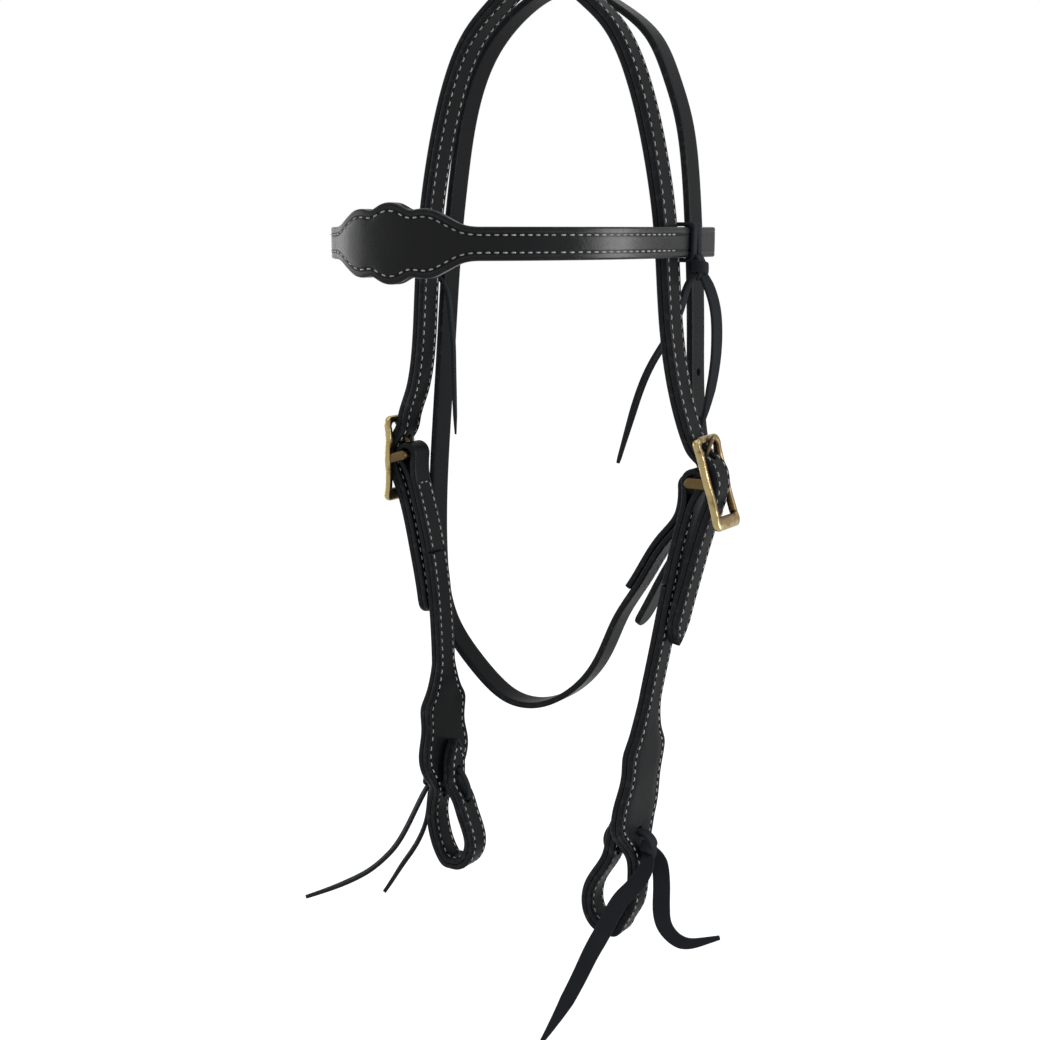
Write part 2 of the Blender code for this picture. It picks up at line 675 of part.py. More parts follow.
def buckle_frame(name, buckle, mirrored):
    """The frame with its two ears and the dropped centre bar, as one casting."""
    outer, inner = frame_ring(buckle)
    rings = []
    for (outer_y, outer_z), (inner_y, inner_z) in zip(outer, inner):
        rings.append([
            buckle.point(buckle.wire / 2, outer_z, outer_y),
            buckle.point(-buckle.wire / 2, outer_z, outer_y),
            buckle.point(-buckle.wire / 2, inner_z, inner_y),
            buckle.point(buckle.wire / 2, inner_z, inner_y),
        ])
    item = mesh_object(name, sweep(rings, closed=True), brass(name), mirrored=mirrored)
    bevel_edges(item, WIRE_ROUND)

    bar_end = buckle.bar_radius + EAR_WALL
    outline = [(bar_end * math.cos(turn) - buckle.drop, bar_end * math.sin(turn) + buckle.bar_rise)
               for turn in np.linspace(*EAR_ARC, 7)]
    outline += [(0.0, -EAR_HEIGHT / 2), (0.0, EAR_HEIGHT / 2)]
    for number, sign in enumerate((1, -1)):
        inside = buckle.half_room + EAR_INSET
        ear = prism(outline, buckle.point(0, 0), buckle.out, buckle.up, Y_AXIS,
                    sign * inside, sign * (inside + buckle.wire))
        filler = helper(f"{name}_ear_{number}", ear, mirrored=mirrored)
        bevel_edges(filler, EAR_ROUND)
        combine(item, filler, "UNION")
    reach = buckle.half_room + buckle.wire * BAR_REACH_SHARE
    bar = prism(disc(buckle.bar_radius, 16, BAR_START), buckle.bar, buckle.out, buckle.up, Y_AXIS,
                -reach, reach)
    combine(item, helper(name + "_bar", bar, mirrored=mirrored), "UNION")
    return item


def buckle_tongue(name, buckle, mirrored):
    """A loose tongue: an eye round the bar and a shank that lies on the top bar."""
    way = buckle.tongue_way()
    side = np.cross(Y_AXIS, way)
    half = TONGUE_THICKNESS / 2
    radius = buckle.eye_radius
    spread = math.asin(half / radius)
    outline = [(radius * math.cos(turn), radius * math.sin(turn))
               for turn in np.linspace(spread, 2 * math.pi - spread, 15)]
    outline += [(buckle.tongue_length + half * along, half * across) for along, across in TONGUE_TIP_SHARES]
    shape = prism(outline, buckle.bar, way, side, Y_AXIS, -TONGUE_WIDTH / 2, TONGUE_WIDTH / 2)
    item = mesh_object(name, shape, brass(name), buckle.bar, mirrored)
    bevel_edges(item, TONGUE_ROUND)
    bore = prism(disc(buckle.bar_radius + GAP, 16), buckle.bar, buckle.out, buckle.up, Y_AXIS,
                 -TONGUE_WIDTH, TONGUE_WIDTH)
    combine(item, helper(name + "_bore", bore, mirrored=mirrored), "DIFFERENCE")
    return item


def chape_slot(name, buckle, mirrored, swing_in):
    """Cutter for the slot through which the tongue leaves the fold."""
    half_angle = math.asin(TONGUE_THICKNESS / 2 / buckle.eye_radius)
    room = SLOT_ROOM / buckle.eye_radius
    first = buckle.tongue_angle - half_angle - room
    last = buckle.tongue_angle + half_angle + TONGUE_SWING + swing_in + room
    radius = buckle.fold_radius + buckle.ply
    outline = [(0.0, 0.0)]
    for turn in np.linspace(first, last, 5):
        outline.append((radius * math.sin(turn), radius * math.cos(turn)))
    half = TONGUE_WIDTH / 2 + SLOT_ROOM
    shape = prism(outline, buckle.bar, buckle.out, buckle.up, Y_AXIS, -half, half)
    return helper(name, shape, mirrored=mirrored)


def tongue_crossing(route, buckle):
    """Where the tongue's line passes through the billet, with the billet's direction there."""
    way = buckle.tongue_way()
    across = np.cross(way, Y_AXIS)
    heights = (route - buckle.bar) @ across
    reach = (route - buckle.bar) @ way
    for index in range(len(route) - 1):
        if heights[index] * heights[index + 1] <= 0 < reach[index]:
            share = heights[index] / (heights[index] - heights[index + 1])
            place = route[index] + share * (route[index + 1] - route[index])
            return place, unit(route[index + 1] - route[index])
    return buckle.bar + way * buckle.fold_radius, -buckle.up


def billet_hole(name, route, buckle, mirrored):
    """Cutter for the hole in the billet through which the tongue passes, square to the billet."""
    place, along = tongue_crossing(route, buckle)
    place = np.array((place[0], buckle.centre[1], place[2]))
    along = unit(along * (1, 0, 1))
    angle = math.acos(abs(np.dot(along, buckle.tongue_way())))
    swing = np.linalg.norm(place - buckle.bar) * math.tan(TONGUE_SWING) / math.sin(angle)
    length = buckle.billet / math.tan(angle) + TONGUE_THICKNESS / math.sin(angle) + 2 * HOLE_ROOM + swing
    outward = np.cross(along, Y_AXIS)
    centre = place + along * swing / 2
    reach = buckle.billet / 2 + TONGUE_EYE_WALL
    outline = stadium(length, TONGUE_WIDTH + 2 * HOLE_ROOM)
    shape = prism(outline, centre, along, Y_AXIS, outward, -reach, reach)
    return helper(name, shape, mirrored=mirrored)


def round_hole(name, place, along, radius, reach, mirrored=False):
    """Cutter for a punched hole, square to the strap."""
    outward = np.cross(unit(along * (1, 0, 1)), Y_AXIS)
    shape = prism(disc(radius, 12), place, unit(along * (1, 0, 1)), Y_AXIS, outward, -reach, reach)
    return helper(name, shape, mirrored=mirrored)


CHEEK_BUCKLE_SIZES = (CHEEK_BUCKLE_HEIGHT, CHEEK_BUCKLE_PLATE, CHEEK_BUCKLE_WIRE)
THROAT_BUCKLE_SIZES = (THROAT_BUCKLE_HEIGHT, THROAT_BUCKLE_PLATE, THROAT_BUCKLE_WIRE)
NEAR_BUCKLE = Buckle(NEAR_BUCKLE_PLACE, NEAR_BUCKLE_TILT, CHEEK_BUCKLE_SIZES, CHEEK_BAR_RADIUS,
                     CHEEK_BAR_RISE, CHEEK_BILLET_RISE, NEAR_BILLET_SAG, PLY, STACK, CHEEK_LEAN)
OFF_BUCKLE = Buckle(OFF_BUCKLE_PLACE, OFF_BUCKLE_TILT, CHEEK_BUCKLE_SIZES, CHEEK_BAR_RADIUS,
                    CHEEK_BAR_RISE, CHEEK_BILLET_RISE, OFF_BILLET_SAG, PLY, STACK, CHEEK_LEAN)
THROAT_BUCKLE = Buckle(THROAT_BUCKLE_PLACE, THROAT_BUCKLE_TILT, THROAT_BUCKLE_SIZES, THROAT_BAR_RADIUS,
                       0.0, THROAT_BILLET_RISE, 0.0, THROAT_PLY, THROAT_PLY, THROAT_LEAN)


def tail_knots(start, length, inset, shares):
    """A billet's tail, hanging inwards from inside the buckle's bottom plate."""
    return [start + np.array((-inset * across, CROWN_SHIFT * back, -length * down))
            for across, back, down in shares]


def crown_half(mirrored):
    """Middle of the crown's two plies, from the poll to the end of one billet."""
    buckle = OFF_BUCKLE if mirrored else NEAR_BUCKLE
    end = OFF_CROWN_END_SHARES if mirrored else NEAR_CROWN_END_SHARES
    top = STACK / 2
    knots = [np.array((POLL_FLAT / 2, 0, top))]
    for across, back, down in (*CROWN_SHARES, end):
        knots.append(np.array((across * CROWN_SPREAD, back * CROWN_SHIFT, top - down * CROWN_DROP)))
    knots += buckle.billet_knots()
    length = TAIL_LENGTH * (OFF_TAIL_SHARE if mirrored else 1)
    knots += tail_knots(knots[-1], length, TAIL_INSET, TAIL_SHARES)
    return smooth(knots, first=(1, 0, -POLL_SLOPE))


def build_crown():
    """Crown strap of two plies; the near billet ends in a point, the off one is rounded."""
    halves = crown_half(False), crown_half(True)
    full = STRAP_WIDTH / 2
    near, near_widths = with_end(halves[0], np.full(len(halves[0]), full), POINT_LENGTH, POINT_SHARES)
    off, off_widths = with_end(halves[1], np.full(len(halves[1]), full), ROUND_LENGTH, ROUND_SHARES)
    route = np.concatenate((off[::-1] * (-1, 1, 1), near))
    widths = np.concatenate((off_widths[::-1], near_widths))
    pieces = []
    for name, distance, flip in (("crown_face", LAYER, False), ("crown_lining", -LAYER, True)):
        shape = strap(layer(route, distance), widths, PLY, profile=plain_section, flip=flip)
        pieces.append(mesh_object(name, shape, leather(name)))
    for side, mirrored, half, buckle in (
            ("near", False, halves[0], NEAR_BUCKLE), ("off", True, halves[1], OFF_BUCKLE)):
        cutter = billet_hole(side + "_billet_hole", half, buckle, mirrored)
        for piece in pieces:
            combine(piece, cutter, "DIFFERENCE")


def cheek_point(inset, down, back):
    """A place on the cheek, by its shares of inset and drop from the cheek's top."""
    return np.array((CHEEK_TOP[0] - inset * CHEEK_INSET, back, CHEEK_TOP[2] - down * CHEEK_DROP))


def cheek_route(buckle):
    """Middle of the cheek's two plies from below the buckle to the loop's neck."""
    join = buckle.join_point() - np.cross(buckle.down, Y_AXIS) * LAYER
    knots = [join] + [cheek_point(inset, down, back * CHEEK_SHIFT) for inset, back, down in CHEEK_SHARES]
    upper = smooth(knots, first=buckle.down)
    whole = smooth(knots, FINE_STATION, first=buckle.down)
    split = cheek_point(0, LOBE_START_SHARE, 0)[2]
    return np.concatenate((upper[upper[:, 2] > split + STATION / 4], whole[whole[:, 2] < split]))


def loop_route(main, mirrored):
    """Bit loop: on from the neck, round the bit and back up beside the main leg."""
    descent_shares = OFF_DESCENT_SHARES if mirrored else NEAR_DESCENT_SHARES
    ascent_shares = OFF_ASCENT_SHARES if mirrored else NEAR_ASCENT_SHARES
    bottom = OFF_BOTTOM_SHARES if mirrored else NEAR_BOTTOM_SHARES
    tip_height = cheek_point(0, OFF_TIP_SHARE if mirrored else NEAR_TIP_SHARE, 0)[2]
    neck = main[-1]
    flat = cheek_point(*bottom, -LOOP_SET_BACK)
    half_flat = X_AXIS * LOOP_FLAT / 2

    def knots(shares):
        places = [cheek_point(inset, down, 0) for inset, down in shares]
        for place in places:
            way = (neck[2] - place[2]) / (neck[2] - flat[2])
            place[1] = neck[1] + (flat[1] - neck[1]) * min(max(way, 0), 1)
        return places

    start = unit(main[-1] - main[-2])
    descent = smooth([neck] + knots(descent_shares) + [flat + half_flat], first=start, last=-X_AXIS)
    flush = layer(main, -2 * (PLY + GAP) - PLY_FLUSH)
    back = flush[flush[:, 2] < tip_height][::-1]
    ascent = smooth([flat - half_flat] + knots(ascent_shares) + [back[0]], first=-X_AXIS,
                    last=back[1] - back[0])
    return descent, ascent, back


def lobe_width(heights, table):
    """Full width of the cheek at each height, by the scallops' shares."""
    down = (CHEEK_TOP[2] - heights) / CHEEK_DROP
    places, swells = zip(*table)
    grown = np.interp(down, places, swells)
    widest = places[np.argmax(swells)]
    base = np.where(down > widest, LOOP_STRAP_WIDTH, STRAP_WIDTH)
    return base + (LOBE_WIDTH - base) * grown


def build_cheek(side, mirrored):
    """One cheek with its two plies, its bit loop and the lace that closes it."""
    buckle = OFF_BUCKLE if mirrored else NEAR_BUCKLE
    pivot = buckle.bar
    main = cheek_route(buckle)
    descent, ascent, back = loop_route(main, mirrored)
    loop = np.concatenate((descent[1:], ascent[:-1]))
    route = np.concatenate((main, loop, back))
    table = OFF_LOBE_SHARES if mirrored else NEAR_LOBE_SHARES
    lobed = lobe_width(np.concatenate((main, descent[1:]))[:, 2], table)
    widths = np.concatenate((lobed, np.full(len(ascent) - 1 + len(back), LOOP_STRAP_WIDTH))) / 2
    route, widths = with_end(route, widths, POINT_LENGTH, POINT_SHARES)

    ruler = lengths(main)
    chape_end = CHAPE_LENGTH
    sewn = ruler[ruler < chape_end - FINE_STATION / 2]
    chape = layer(main, -LAYER)
    chape = at(chape, np.interp(np.append(sewn, chape_end), ruler, lengths(chape)))
    outer = layer(route, LAYER)
    fold = buckle.fold()
    face_route = np.concatenate((chape[::-1], fold, outer))
    face_widths = np.concatenate((np.full(len(chape) + len(fold), STRAP_WIDTH / 2), widths))
    name = side + "_cheek_face"
    shape = strap(face_route, face_widths, PLY, profile=plain_section)
    face = mesh_object(name, shape, leather(name), pivot, mirrored)

    inner = layer(route, -LAYER)
    start = chape_end + PLY_BUTT
    distances = lengths(route)
    kept = distances > start + FINE_STATION / 2
    begin = at(inner, [np.interp(start, distances, lengths(inner))])
    lining_route = np.concatenate((begin, inner[kept]))
    lining_widths = np.concatenate(([STRAP_WIDTH / 2], widths[kept]))
    name = side + "_cheek_lining"
    shape = strap(lining_route, lining_widths, PLY, profile=plain_section, flip=True)
    lining = mesh_object(name, shape, leather(name), pivot, mirrored)

    slot = chape_slot(side + "_chape_slot", buckle, mirrored, CHEEK_SWING_IN)
    combine(face, slot, "DIFFERENCE")
    holes = []
    for number, share in enumerate(OFF_HOLE_SHARES if mirrored else NEAR_HOLE_SHARES):
        height = cheek_point(0, share, 0)[2]
        leg = np.concatenate((main, descent[1:]))[::-1]
        outer_leg = np.array([np.interp(height, leg[:, 2], leg[:, axis]) for axis in range(3)])
        leg = np.concatenate((ascent[len(ascent) // 2:], back))
        inner_leg = np.array([np.interp(height, leg[:, 2], leg[:, axis]) for axis in range(3)])
        holes.append((outer_leg, inner_leg))
        middle = (outer_leg + inner_leg) / 2
        reach = (outer_leg[0] - inner_leg[0]) / 2 + STACK
        bore = prism(disc(TIE_HOLE_RADIUS, 12), middle, Y_AXIS, Z_AXIS, X_AXIS, -reach, reach)
        cutter = helper(f"{side}_tie_hole_{number}", bore, mirrored=mirrored)
        combine(face, cutter, "DIFFERENCE")
        combine(lining, cutter, "DIFFERENCE")
    tie = build_bit_tie(side, mirrored, holes, pivot)
    adopt(empty(side + "_cheek", pivot, mirrored), (face, lining, tie))


def tail(start, reach, shares, width, way):
    """One end of a lace, from a knot to its tip."""
    knots = [start + reach * np.array((across, back, -down)) for across, back, down in shares]
    route = smooth(knots)
    ruler = lengths(route) / lengths(route)[-1]
    places, taper = zip(*TAIL_TAPER_SHARES)
    widths = width * np.interp(ruler, places, taper)
    return lace(route, widths, LACE, np.broadcast_to(way, (len(route), 3)))


def build_bit_tie(side, mirrored, holes, pivot):
    """Lace through the two holes of a bit loop, knotted on the outer face, with two tails."""
    half = STACK / 2
    clear = half + GAP + LACE / 2 + LACE_STAND
    leave = half + GAP
    (upper_out, upper_in), (lower_out, lower_in) = holes
    drop = lower_out - upper_out
    outside = (upper_out + lower_out) / 2 + X_AXIS * (clear + LACE)
    turn = (lower_in - upper_in) * LACE_TURN_SHARE
    knots = [
        outside,
        upper_out + X_AXIS * (clear + LACE / 2),
        upper_out + X_AXIS * leave,
        upper_in,
        upper_in - X_AXIS * leave,
        upper_in - X_AXIS * clear + turn,
        lower_in - X_AXIS * clear - turn,
        lower_in - X_AXIS * leave,
        lower_in,
        lower_out + X_AXIS * leave,
        lower_out + X_AXIS * (clear + LACE / 2),
        outside + drop * KNOT_DOWN_SHARE,
    ]
    route = smooth(knots, FINE_STATION)
    widths = np.full(len(route), LACE_IN_HOLE)
    shape = lace(route, widths, LACE, np.broadcast_to(Y_AXIS, (len(route), 3)))
    name = side + "_bit_tie"
    item = mesh_object(name, shape, lace_leather(name), pivot, mirrored)
    centre = outside + drop * KNOT_DOWN_SHARE
    centre[0] = max(upper_out[0], lower_out[0]) + half + GAP + BIT_KNOT_SIZES[0] / 2
    knot = ball(centre, BIT_KNOT_SIZES)
    combine(item, helper(name + "_knot", knot, mirrored=mirrored), "UNION")
    if mirrored:
        tails = zip((OFF_BIT_TAIL_SHARES, OFF_BIT_SHORT_SHARES), OFF_BIT_TAIL_WAYS)
    else:
        tails = zip((NEAR_BIT_TAIL_SHARES, NEAR_BIT_SHORT_SHARES), NEAR_BIT_TAIL_WAYS)
    for number, (shares, way) in enumerate(tails):
        shape = tail(centre, BIT_TAIL_REACH, shares, LACE_WIDTH, np.array(way))
        combine(item, helper(f"{name}_tail_{number}", shape, mirrored=mirrored), "UNION")
    return item


def throat_route():
    """The throat strap's own ply: from below its buckle, under the throat, over the poll, to its tail."""
    knots = [THROAT_BUCKLE.join_point()]
    for across, back, down in THROAT_SHARES:
        height = THROAT_PLY / 2 - down * THROAT_DROP
        knots.append(np.array((across * THROAT_SPREAD, back * THROAT_SHIFT, height)))
    knots += THROAT_BUCKLE.billet_knots()
    knots += tail_knots(knots[-1], THROAT_TAIL_LENGTH, THROAT_TAIL_INSET, THROAT_TAIL_SHARES)
    return smooth(knots, first=THROAT_BUCKLE.down)


def build_throat_strap():
    """Throatlatch of one ply, folded round its buckle's bar at the near end."""
    route = throat_route()
    route, widths = with_end(route, np.full(len(route), STRAP_WIDTH / 2), ROUND_LENGTH, ROUND_SHARES)
    ruler = lengths(route)
    inner = layer(route, -THROAT_PLY - GAP)
    stations = np.append(ruler[ruler < THROAT_CHAPE_LENGTH - FINE_STATION / 2], THROAT_CHAPE_LENGTH)
    chape = at(inner, np.interp(stations, ruler, lengths(inner)))
    fold = THROAT_BUCKLE.fold()
    whole = np.concatenate((chape[::-1], fold, route))
    half_widths = np.concatenate((np.full(len(chape) + len(fold), STRAP_WIDTH / 2), widths))
    item = mesh_object("throat_strap", strap(whole, half_widths, THROAT_PLY), leather("throat_strap"))
    combine(item, chape_slot("throat_chape_slot", THROAT_BUCKLE, False, 0.0), "DIFFERENCE")
    combine(item, billet_hole("throat_billet_hole", route, THROAT_BUCKLE, False), "DIFFERENCE")
    place, _ = tongue_crossing(route, THROAT_BUCKLE)
    billet = route[len(route) // 2:]
    rulers = lengths(billet)
    nearest = rulers[np.argmin(np.linalg.norm(billet - place, axis=1))]
    for step in SPARE_HOLE_STEPS:
        distance = nearest + step * THROAT_HOLE_PITCH
        spot = at(billet, [distance])[0]
        along = at(billet, [distance + FINE_STATION])[0] - spot
        cutter = round_hole(f"throat_spare_hole_{step % 4}", spot, along, THROAT_HOLE_RADIUS, THROAT_PLY)
        combine(item, cutter, "DIFFERENCE")


def brow_curve():
    """Outer ply of the browband, from the near loop round the brow to the middle."""
    share = 2 / BROW_POWER
    reach = BROW_BULGE - BROW_START
    knots = []
    for turn in np.linspace(0, math.pi / 2, 60):
        knots.append((BROW_HALF * math.cos(turn) ** share, -BROW_START - reach * math.sin(turn) ** share))
    route = np.array([(x, y, -BROW_DOWN) for x, y in knots])
    return route


def brow_half():
    """Half of the outer ply, thinned to stations and fine in the scallops."""
    dense = brow_curve()
    total = lengths(dense)[-1]
    distances = [0.0]
    while distances[-1] < total - BROW_LOBES_HALF:
        distances.append(distances[-1] + STATION * BROW_STATION_SHARE)
    lobes = np.linspace(total - BROW_LOBES_HALF, total, 15)
    distances = np.array([d for d in distances if d < lobes[0] - STATION / 4] + list(lobes))
    return at(dense, distances), total - distances


def leg_route(throat_face, throat_back, play):
    """The loop's legs for one side: outer leg back, round the end, inner leg forward."""
    crown_inner = crown_inner_face()
    inner_leg = crown_inner - CROWN_PLAY - PLY / 2
    throat_leg = throat_face - play - PLY / 2
    half_crown = STRAP_WIDTH / 2
    radius = (BROW_HALF - throat_leg) / 2
    end = throat_back + LOOP_END_ROOM - radius * LOOP_END_SHARE
    centre = np.array(((BROW_HALF + throat_leg) / 2, end, -BROW_DOWN))
    turns = np.linspace(0, math.pi, 10)
    wrap = [centre + radius * np.array((math.cos(turn), math.sin(turn), 0)) for turn in turns]
    front = np.array((inner_leg, -half_crown - GAP, -BROW_DOWN))
    middle = np.array((inner_leg, half_crown, -BROW_DOWN))
    inner = smooth((wrap[-1], middle, front), first=-Y_AXIS, last=-Y_AXIS)
    return np.array(wrap), inner[1:]


def crown_inner_face():
    """Inner face of the crown strap at the browband."""
    route = layer(crown_half(False), -STACK / 2)
    order = np.argsort(route[:, 2])
    return np.interp(-BROW_DOWN, route[order, 2], route[order, 0])


def throat_place(sign):
    """Inner face and back edge of the throat strap at the browband, on one side."""
    route = throat_route()
    legs = route[(route[:, 0] * sign > 0) & (route[:, 2] > -THROAT_DROP / 2)]
    order = np.argsort(legs[:, 2])
    across = np.interp(-BROW_DOWN, legs[order, 2], legs[order, 0] * sign)
    back = np.interp(-BROW_DOWN, legs[order, 2], legs[order, 1])
    return across - THROAT_PLY / 2, back + STRAP_WIDTH / 2


def brow_end(outer, sign):
    """Loop and return of one end, from the outer leg's front round to the return's end."""
    face, back = throat_place(sign)
    wrap, inner = leg_route(face, back, NEAR_THROAT_PLAY if sign > 0 else OFF_THROAT_PLAY)
    ruler = lengths(outer)
    under = layer(outer, 2 * LAYER, Z_AXIS)
    keep = (ruler > BROW_MERGE) & (ruler < BROW_MERGE + BROW_RETURN)
    returned = under[keep]
    merge = smooth((inner[-1], returned[0]), FINE_STATION, -Y_AXIS, returned[1] - returned[0])
    return np.concatenate((wrap, inner, merge[1:-1], returned)), ruler[keep][-1]


def build_browband():
    """Scalloped browband: the face ply turns back at each end into a loop for the straps."""
    outer, from_middle = brow_half()
    places, swells = zip(*BROW_SHARES)
    grown = np.interp(from_middle / BROW_LOBES_HALF, places, swells)
    heights = STRAP_WIDTH + (BROW_LOBE_HEIGHT - STRAP_WIDTH) * grown
    near_end, near_stop = brow_end(outer, 1)
    off_end, off_stop = brow_end(outer, -1)
    mirror = np.array((-1, 1, 1))
    route = np.concatenate((near_end[::-1], outer, outer[-2::-1] * mirror, off_end * mirror))
    widths = np.concatenate((
        np.full(len(near_end), STRAP_WIDTH), heights, heights[-2::-1], np.full(len(off_end), STRAP_WIDTH)))
    pivot = np.array((0, 0, -BROW_DOWN))
    shape = strap(route, widths / 2, PLY, Z_AXIS)
    face = mesh_object("browband_face", shape, leather("browband_face"), pivot)

    ruler = lengths(outer)
    under = layer(np.concatenate((outer, outer[-2::-1] * mirror)), 2 * LAYER, Z_AXIS)
    both = np.concatenate((heights, heights[-2::-1]))
    distances = np.concatenate((ruler, 2 * ruler[-1] - ruler[-2::-1]))
    first = near_stop + PLY_BUTT
    last = 2 * ruler[-1] - off_stop - PLY_BUTT
    inside = (distances > first + PLY_BUTT) & (distances < last - PLY_BUTT)
    under_ruler = lengths(under)
    ends = at(under, np.interp((first, last), distances, under_ruler))
    lining_route = np.concatenate((ends[:1], under[inside], ends[1:]))
    lining_widths = np.concatenate(([STRAP_WIDTH], both[inside], [STRAP_WIDTH]))
    shape = strap(lining_route, lining_widths / 2, PLY, Z_AXIS, profile=plain_section)
    lining = mesh_object("browband_lining", shape, leather("browband_lining"), pivot)
    ties = [build_brow_tie("near", False, pivot), build_brow_tie("off", True, pivot)]
    adopt(empty("browband", pivot), (face, lining, *ties))


def brow_ring(back):
    """Closed lace ring round both legs of a browband loop, at one place along it."""
    inner = crown_inner_face() - CROWN_PLAY - PLY - GAP - LACE / 2
    outer = BROW_HALF + PLY / 2 + GAP + LACE / 2
    half = STRAP_WIDTH / 2 + GAP + LACE / 2
    corner = BROW_RING_CORNER
    points = []
    corners = ((outer, 1, half, 1, 0), (inner, -1, half, 1, 90),
               (inner, -1, -half, -1, 180), (outer, 1, -half, -1, 270))
    for x, sign_x, z, sign_z, start in corners:
        for index in range(4):
            turn = math.radians(start + 30 * index)
            points.append(np.array((
                x - sign_x * corner + corner * math.cos(turn), back,
                -BROW_DOWN + z - sign_z * corner + corner * math.sin(turn))))
    middle = np.array(((inner + outer) / 2, back, -BROW_DOWN))
    rings = []
    count = len(points)
    for index, place in enumerate(points):
        along = unit(points[(index + 1) % count] - points[index - 1])
        normal = np.cross(along, Y_AXIS)
        normal = normal * np.sign(np.dot(normal, place - middle))
        cut = lace_section(BROW_LACE_WIDTH / 2, LACE / 2)
        rings.append([place + Y_AXIS * w + normal * t for w, t in cut])
    return sweep(rings, closed=True), outer


def build_brow_tie(side, mirrored, pivot):
    """Lace tied round both legs of a browband loop, between the crown and the throat strap."""
    sign = -1 if mirrored else 1
    _, throat_back = throat_place(sign)
    throat_front = throat_back - STRAP_WIDTH
    crown_back = STRAP_WIDTH / 2
    room = throat_front - crown_back
    middle = crown_back + room / 2
    step = BROW_LACE_WIDTH + BROW_LACE_GAP
    backs = [middle - step / 2, middle + step / 2] if room > 2 * step + 2 * GAP else [middle]
    name = side + "_brow_tie"
    shape, outer = brow_ring(backs[0])
    item = mesh_object(name, shape, lace_leather(name), pivot, mirrored)
    for number, back in enumerate(backs[1:]):
        ring, _ = brow_ring(back)
        combine(item, helper(f"{name}_ring_{number}", ring, mirrored=mirrored), "UNION")
    knot_width = min(BROW_KNOT_SIZES[1], room - 2 * GAP)
    thick, _, high = BROW_KNOT_SIZES
    proud, hung = BROW_KNOT_SHARES
    centre = np.array((outer + thick * proud, middle, -BROW_DOWN - STRAP_WIDTH / 2 - high * hung))
    knot = ball(centre, (thick, knot_width, high))
    combine(item, helper(name + "_knot", knot, mirrored=mirrored), "UNION")
    tails = [OFF_BROW_INNER_SHARES] if mirrored else [NEAR_BROW_LONG_SHARES, NEAR_BROW_INNER_SHARES]
    for number, (shares, way) in enumerate(zip(tails, BROW_TAIL_WAYS)):
        width = BROW_LACE_WIDTH if mirrored else BROW_LACE_TAIL
        shape = tail(centre, BROW_TAIL_REACH, shares, width, unit(np.array(way)))
        combine(item, helper(f"{name}_tail_{number}", shape, mirrored=mirrored), "UNION")
    return item


def build_buckles():
    """Frames and tongues of the three buckles."""
    for name, buckle, mirrored in (
            ("near", NEAR_BUCKLE, False), ("off", OFF_BUCKLE, True), ("throat", THROAT_BUCKLE, False)):
        buckle_frame(name + "_buckle_frame", buckle, mirrored)
        buckle_tongue(name + "_buckle_tongue", buckle, mirrored)


def main():
    clear_scene()
    build_crown()
    build_browband()
    build_throat_strap()
    build_cheek("near", False)
    build_cheek("off", True)
    build_buckles()


main()
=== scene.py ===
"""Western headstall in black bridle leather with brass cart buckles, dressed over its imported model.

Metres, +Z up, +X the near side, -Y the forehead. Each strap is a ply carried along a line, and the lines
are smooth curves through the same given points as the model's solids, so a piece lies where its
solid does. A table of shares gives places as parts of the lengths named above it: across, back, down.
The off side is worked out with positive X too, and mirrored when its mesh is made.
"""
import math

import bpy
import numpy as np
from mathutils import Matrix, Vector


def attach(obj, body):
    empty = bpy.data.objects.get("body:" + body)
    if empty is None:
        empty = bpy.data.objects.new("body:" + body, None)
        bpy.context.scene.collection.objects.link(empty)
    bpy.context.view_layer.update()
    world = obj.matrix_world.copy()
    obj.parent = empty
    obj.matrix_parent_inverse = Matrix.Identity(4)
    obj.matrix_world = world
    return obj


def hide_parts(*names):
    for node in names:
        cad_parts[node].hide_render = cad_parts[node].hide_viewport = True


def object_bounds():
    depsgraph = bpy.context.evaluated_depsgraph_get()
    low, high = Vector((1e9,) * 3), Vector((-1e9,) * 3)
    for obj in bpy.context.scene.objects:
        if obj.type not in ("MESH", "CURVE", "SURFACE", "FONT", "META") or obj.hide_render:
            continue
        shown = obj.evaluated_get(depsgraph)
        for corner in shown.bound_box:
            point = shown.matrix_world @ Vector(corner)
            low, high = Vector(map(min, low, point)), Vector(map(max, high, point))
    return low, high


bl_info = {
    "name": "Western headstall",
    "version": (1, 0, 0),
    "blender": (4, 5, 0),
    "location": "View3D > Sidebar > Headstall",
    "description": "Stitched black headstall with scalloped browband, laced bit loops and brass cart buckles",
    "category": "Add Mesh",
}

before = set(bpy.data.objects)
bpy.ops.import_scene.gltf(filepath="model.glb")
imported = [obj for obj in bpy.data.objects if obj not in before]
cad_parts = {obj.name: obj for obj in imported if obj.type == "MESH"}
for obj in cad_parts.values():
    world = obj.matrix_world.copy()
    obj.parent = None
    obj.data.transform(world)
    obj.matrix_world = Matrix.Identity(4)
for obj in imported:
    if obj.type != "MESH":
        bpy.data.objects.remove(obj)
CAD_BOX = [[float(value) for value in corner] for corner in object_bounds()]

X_AXIS = np.array((1.0, 0.0, 0.0))
Y_AXIS = np.array((0.0, 1.0, 0.0))
Z_AXIS = np.array((0.0, 0.0, 1.0))
MIRROR = np.array((-1.0, 1.0, 1.0))

# Leather, as in the model's solids
STRAP_WIDTH = 0.0160
PLY = 0.0033
THROAT_PLY = 0.0036
GAP = 0.0003
STACK = 2 * PLY + GAP
LAYER = (PLY + GAP) / 2
PLY_BUTT = 0.0010
LACE = 0.0022

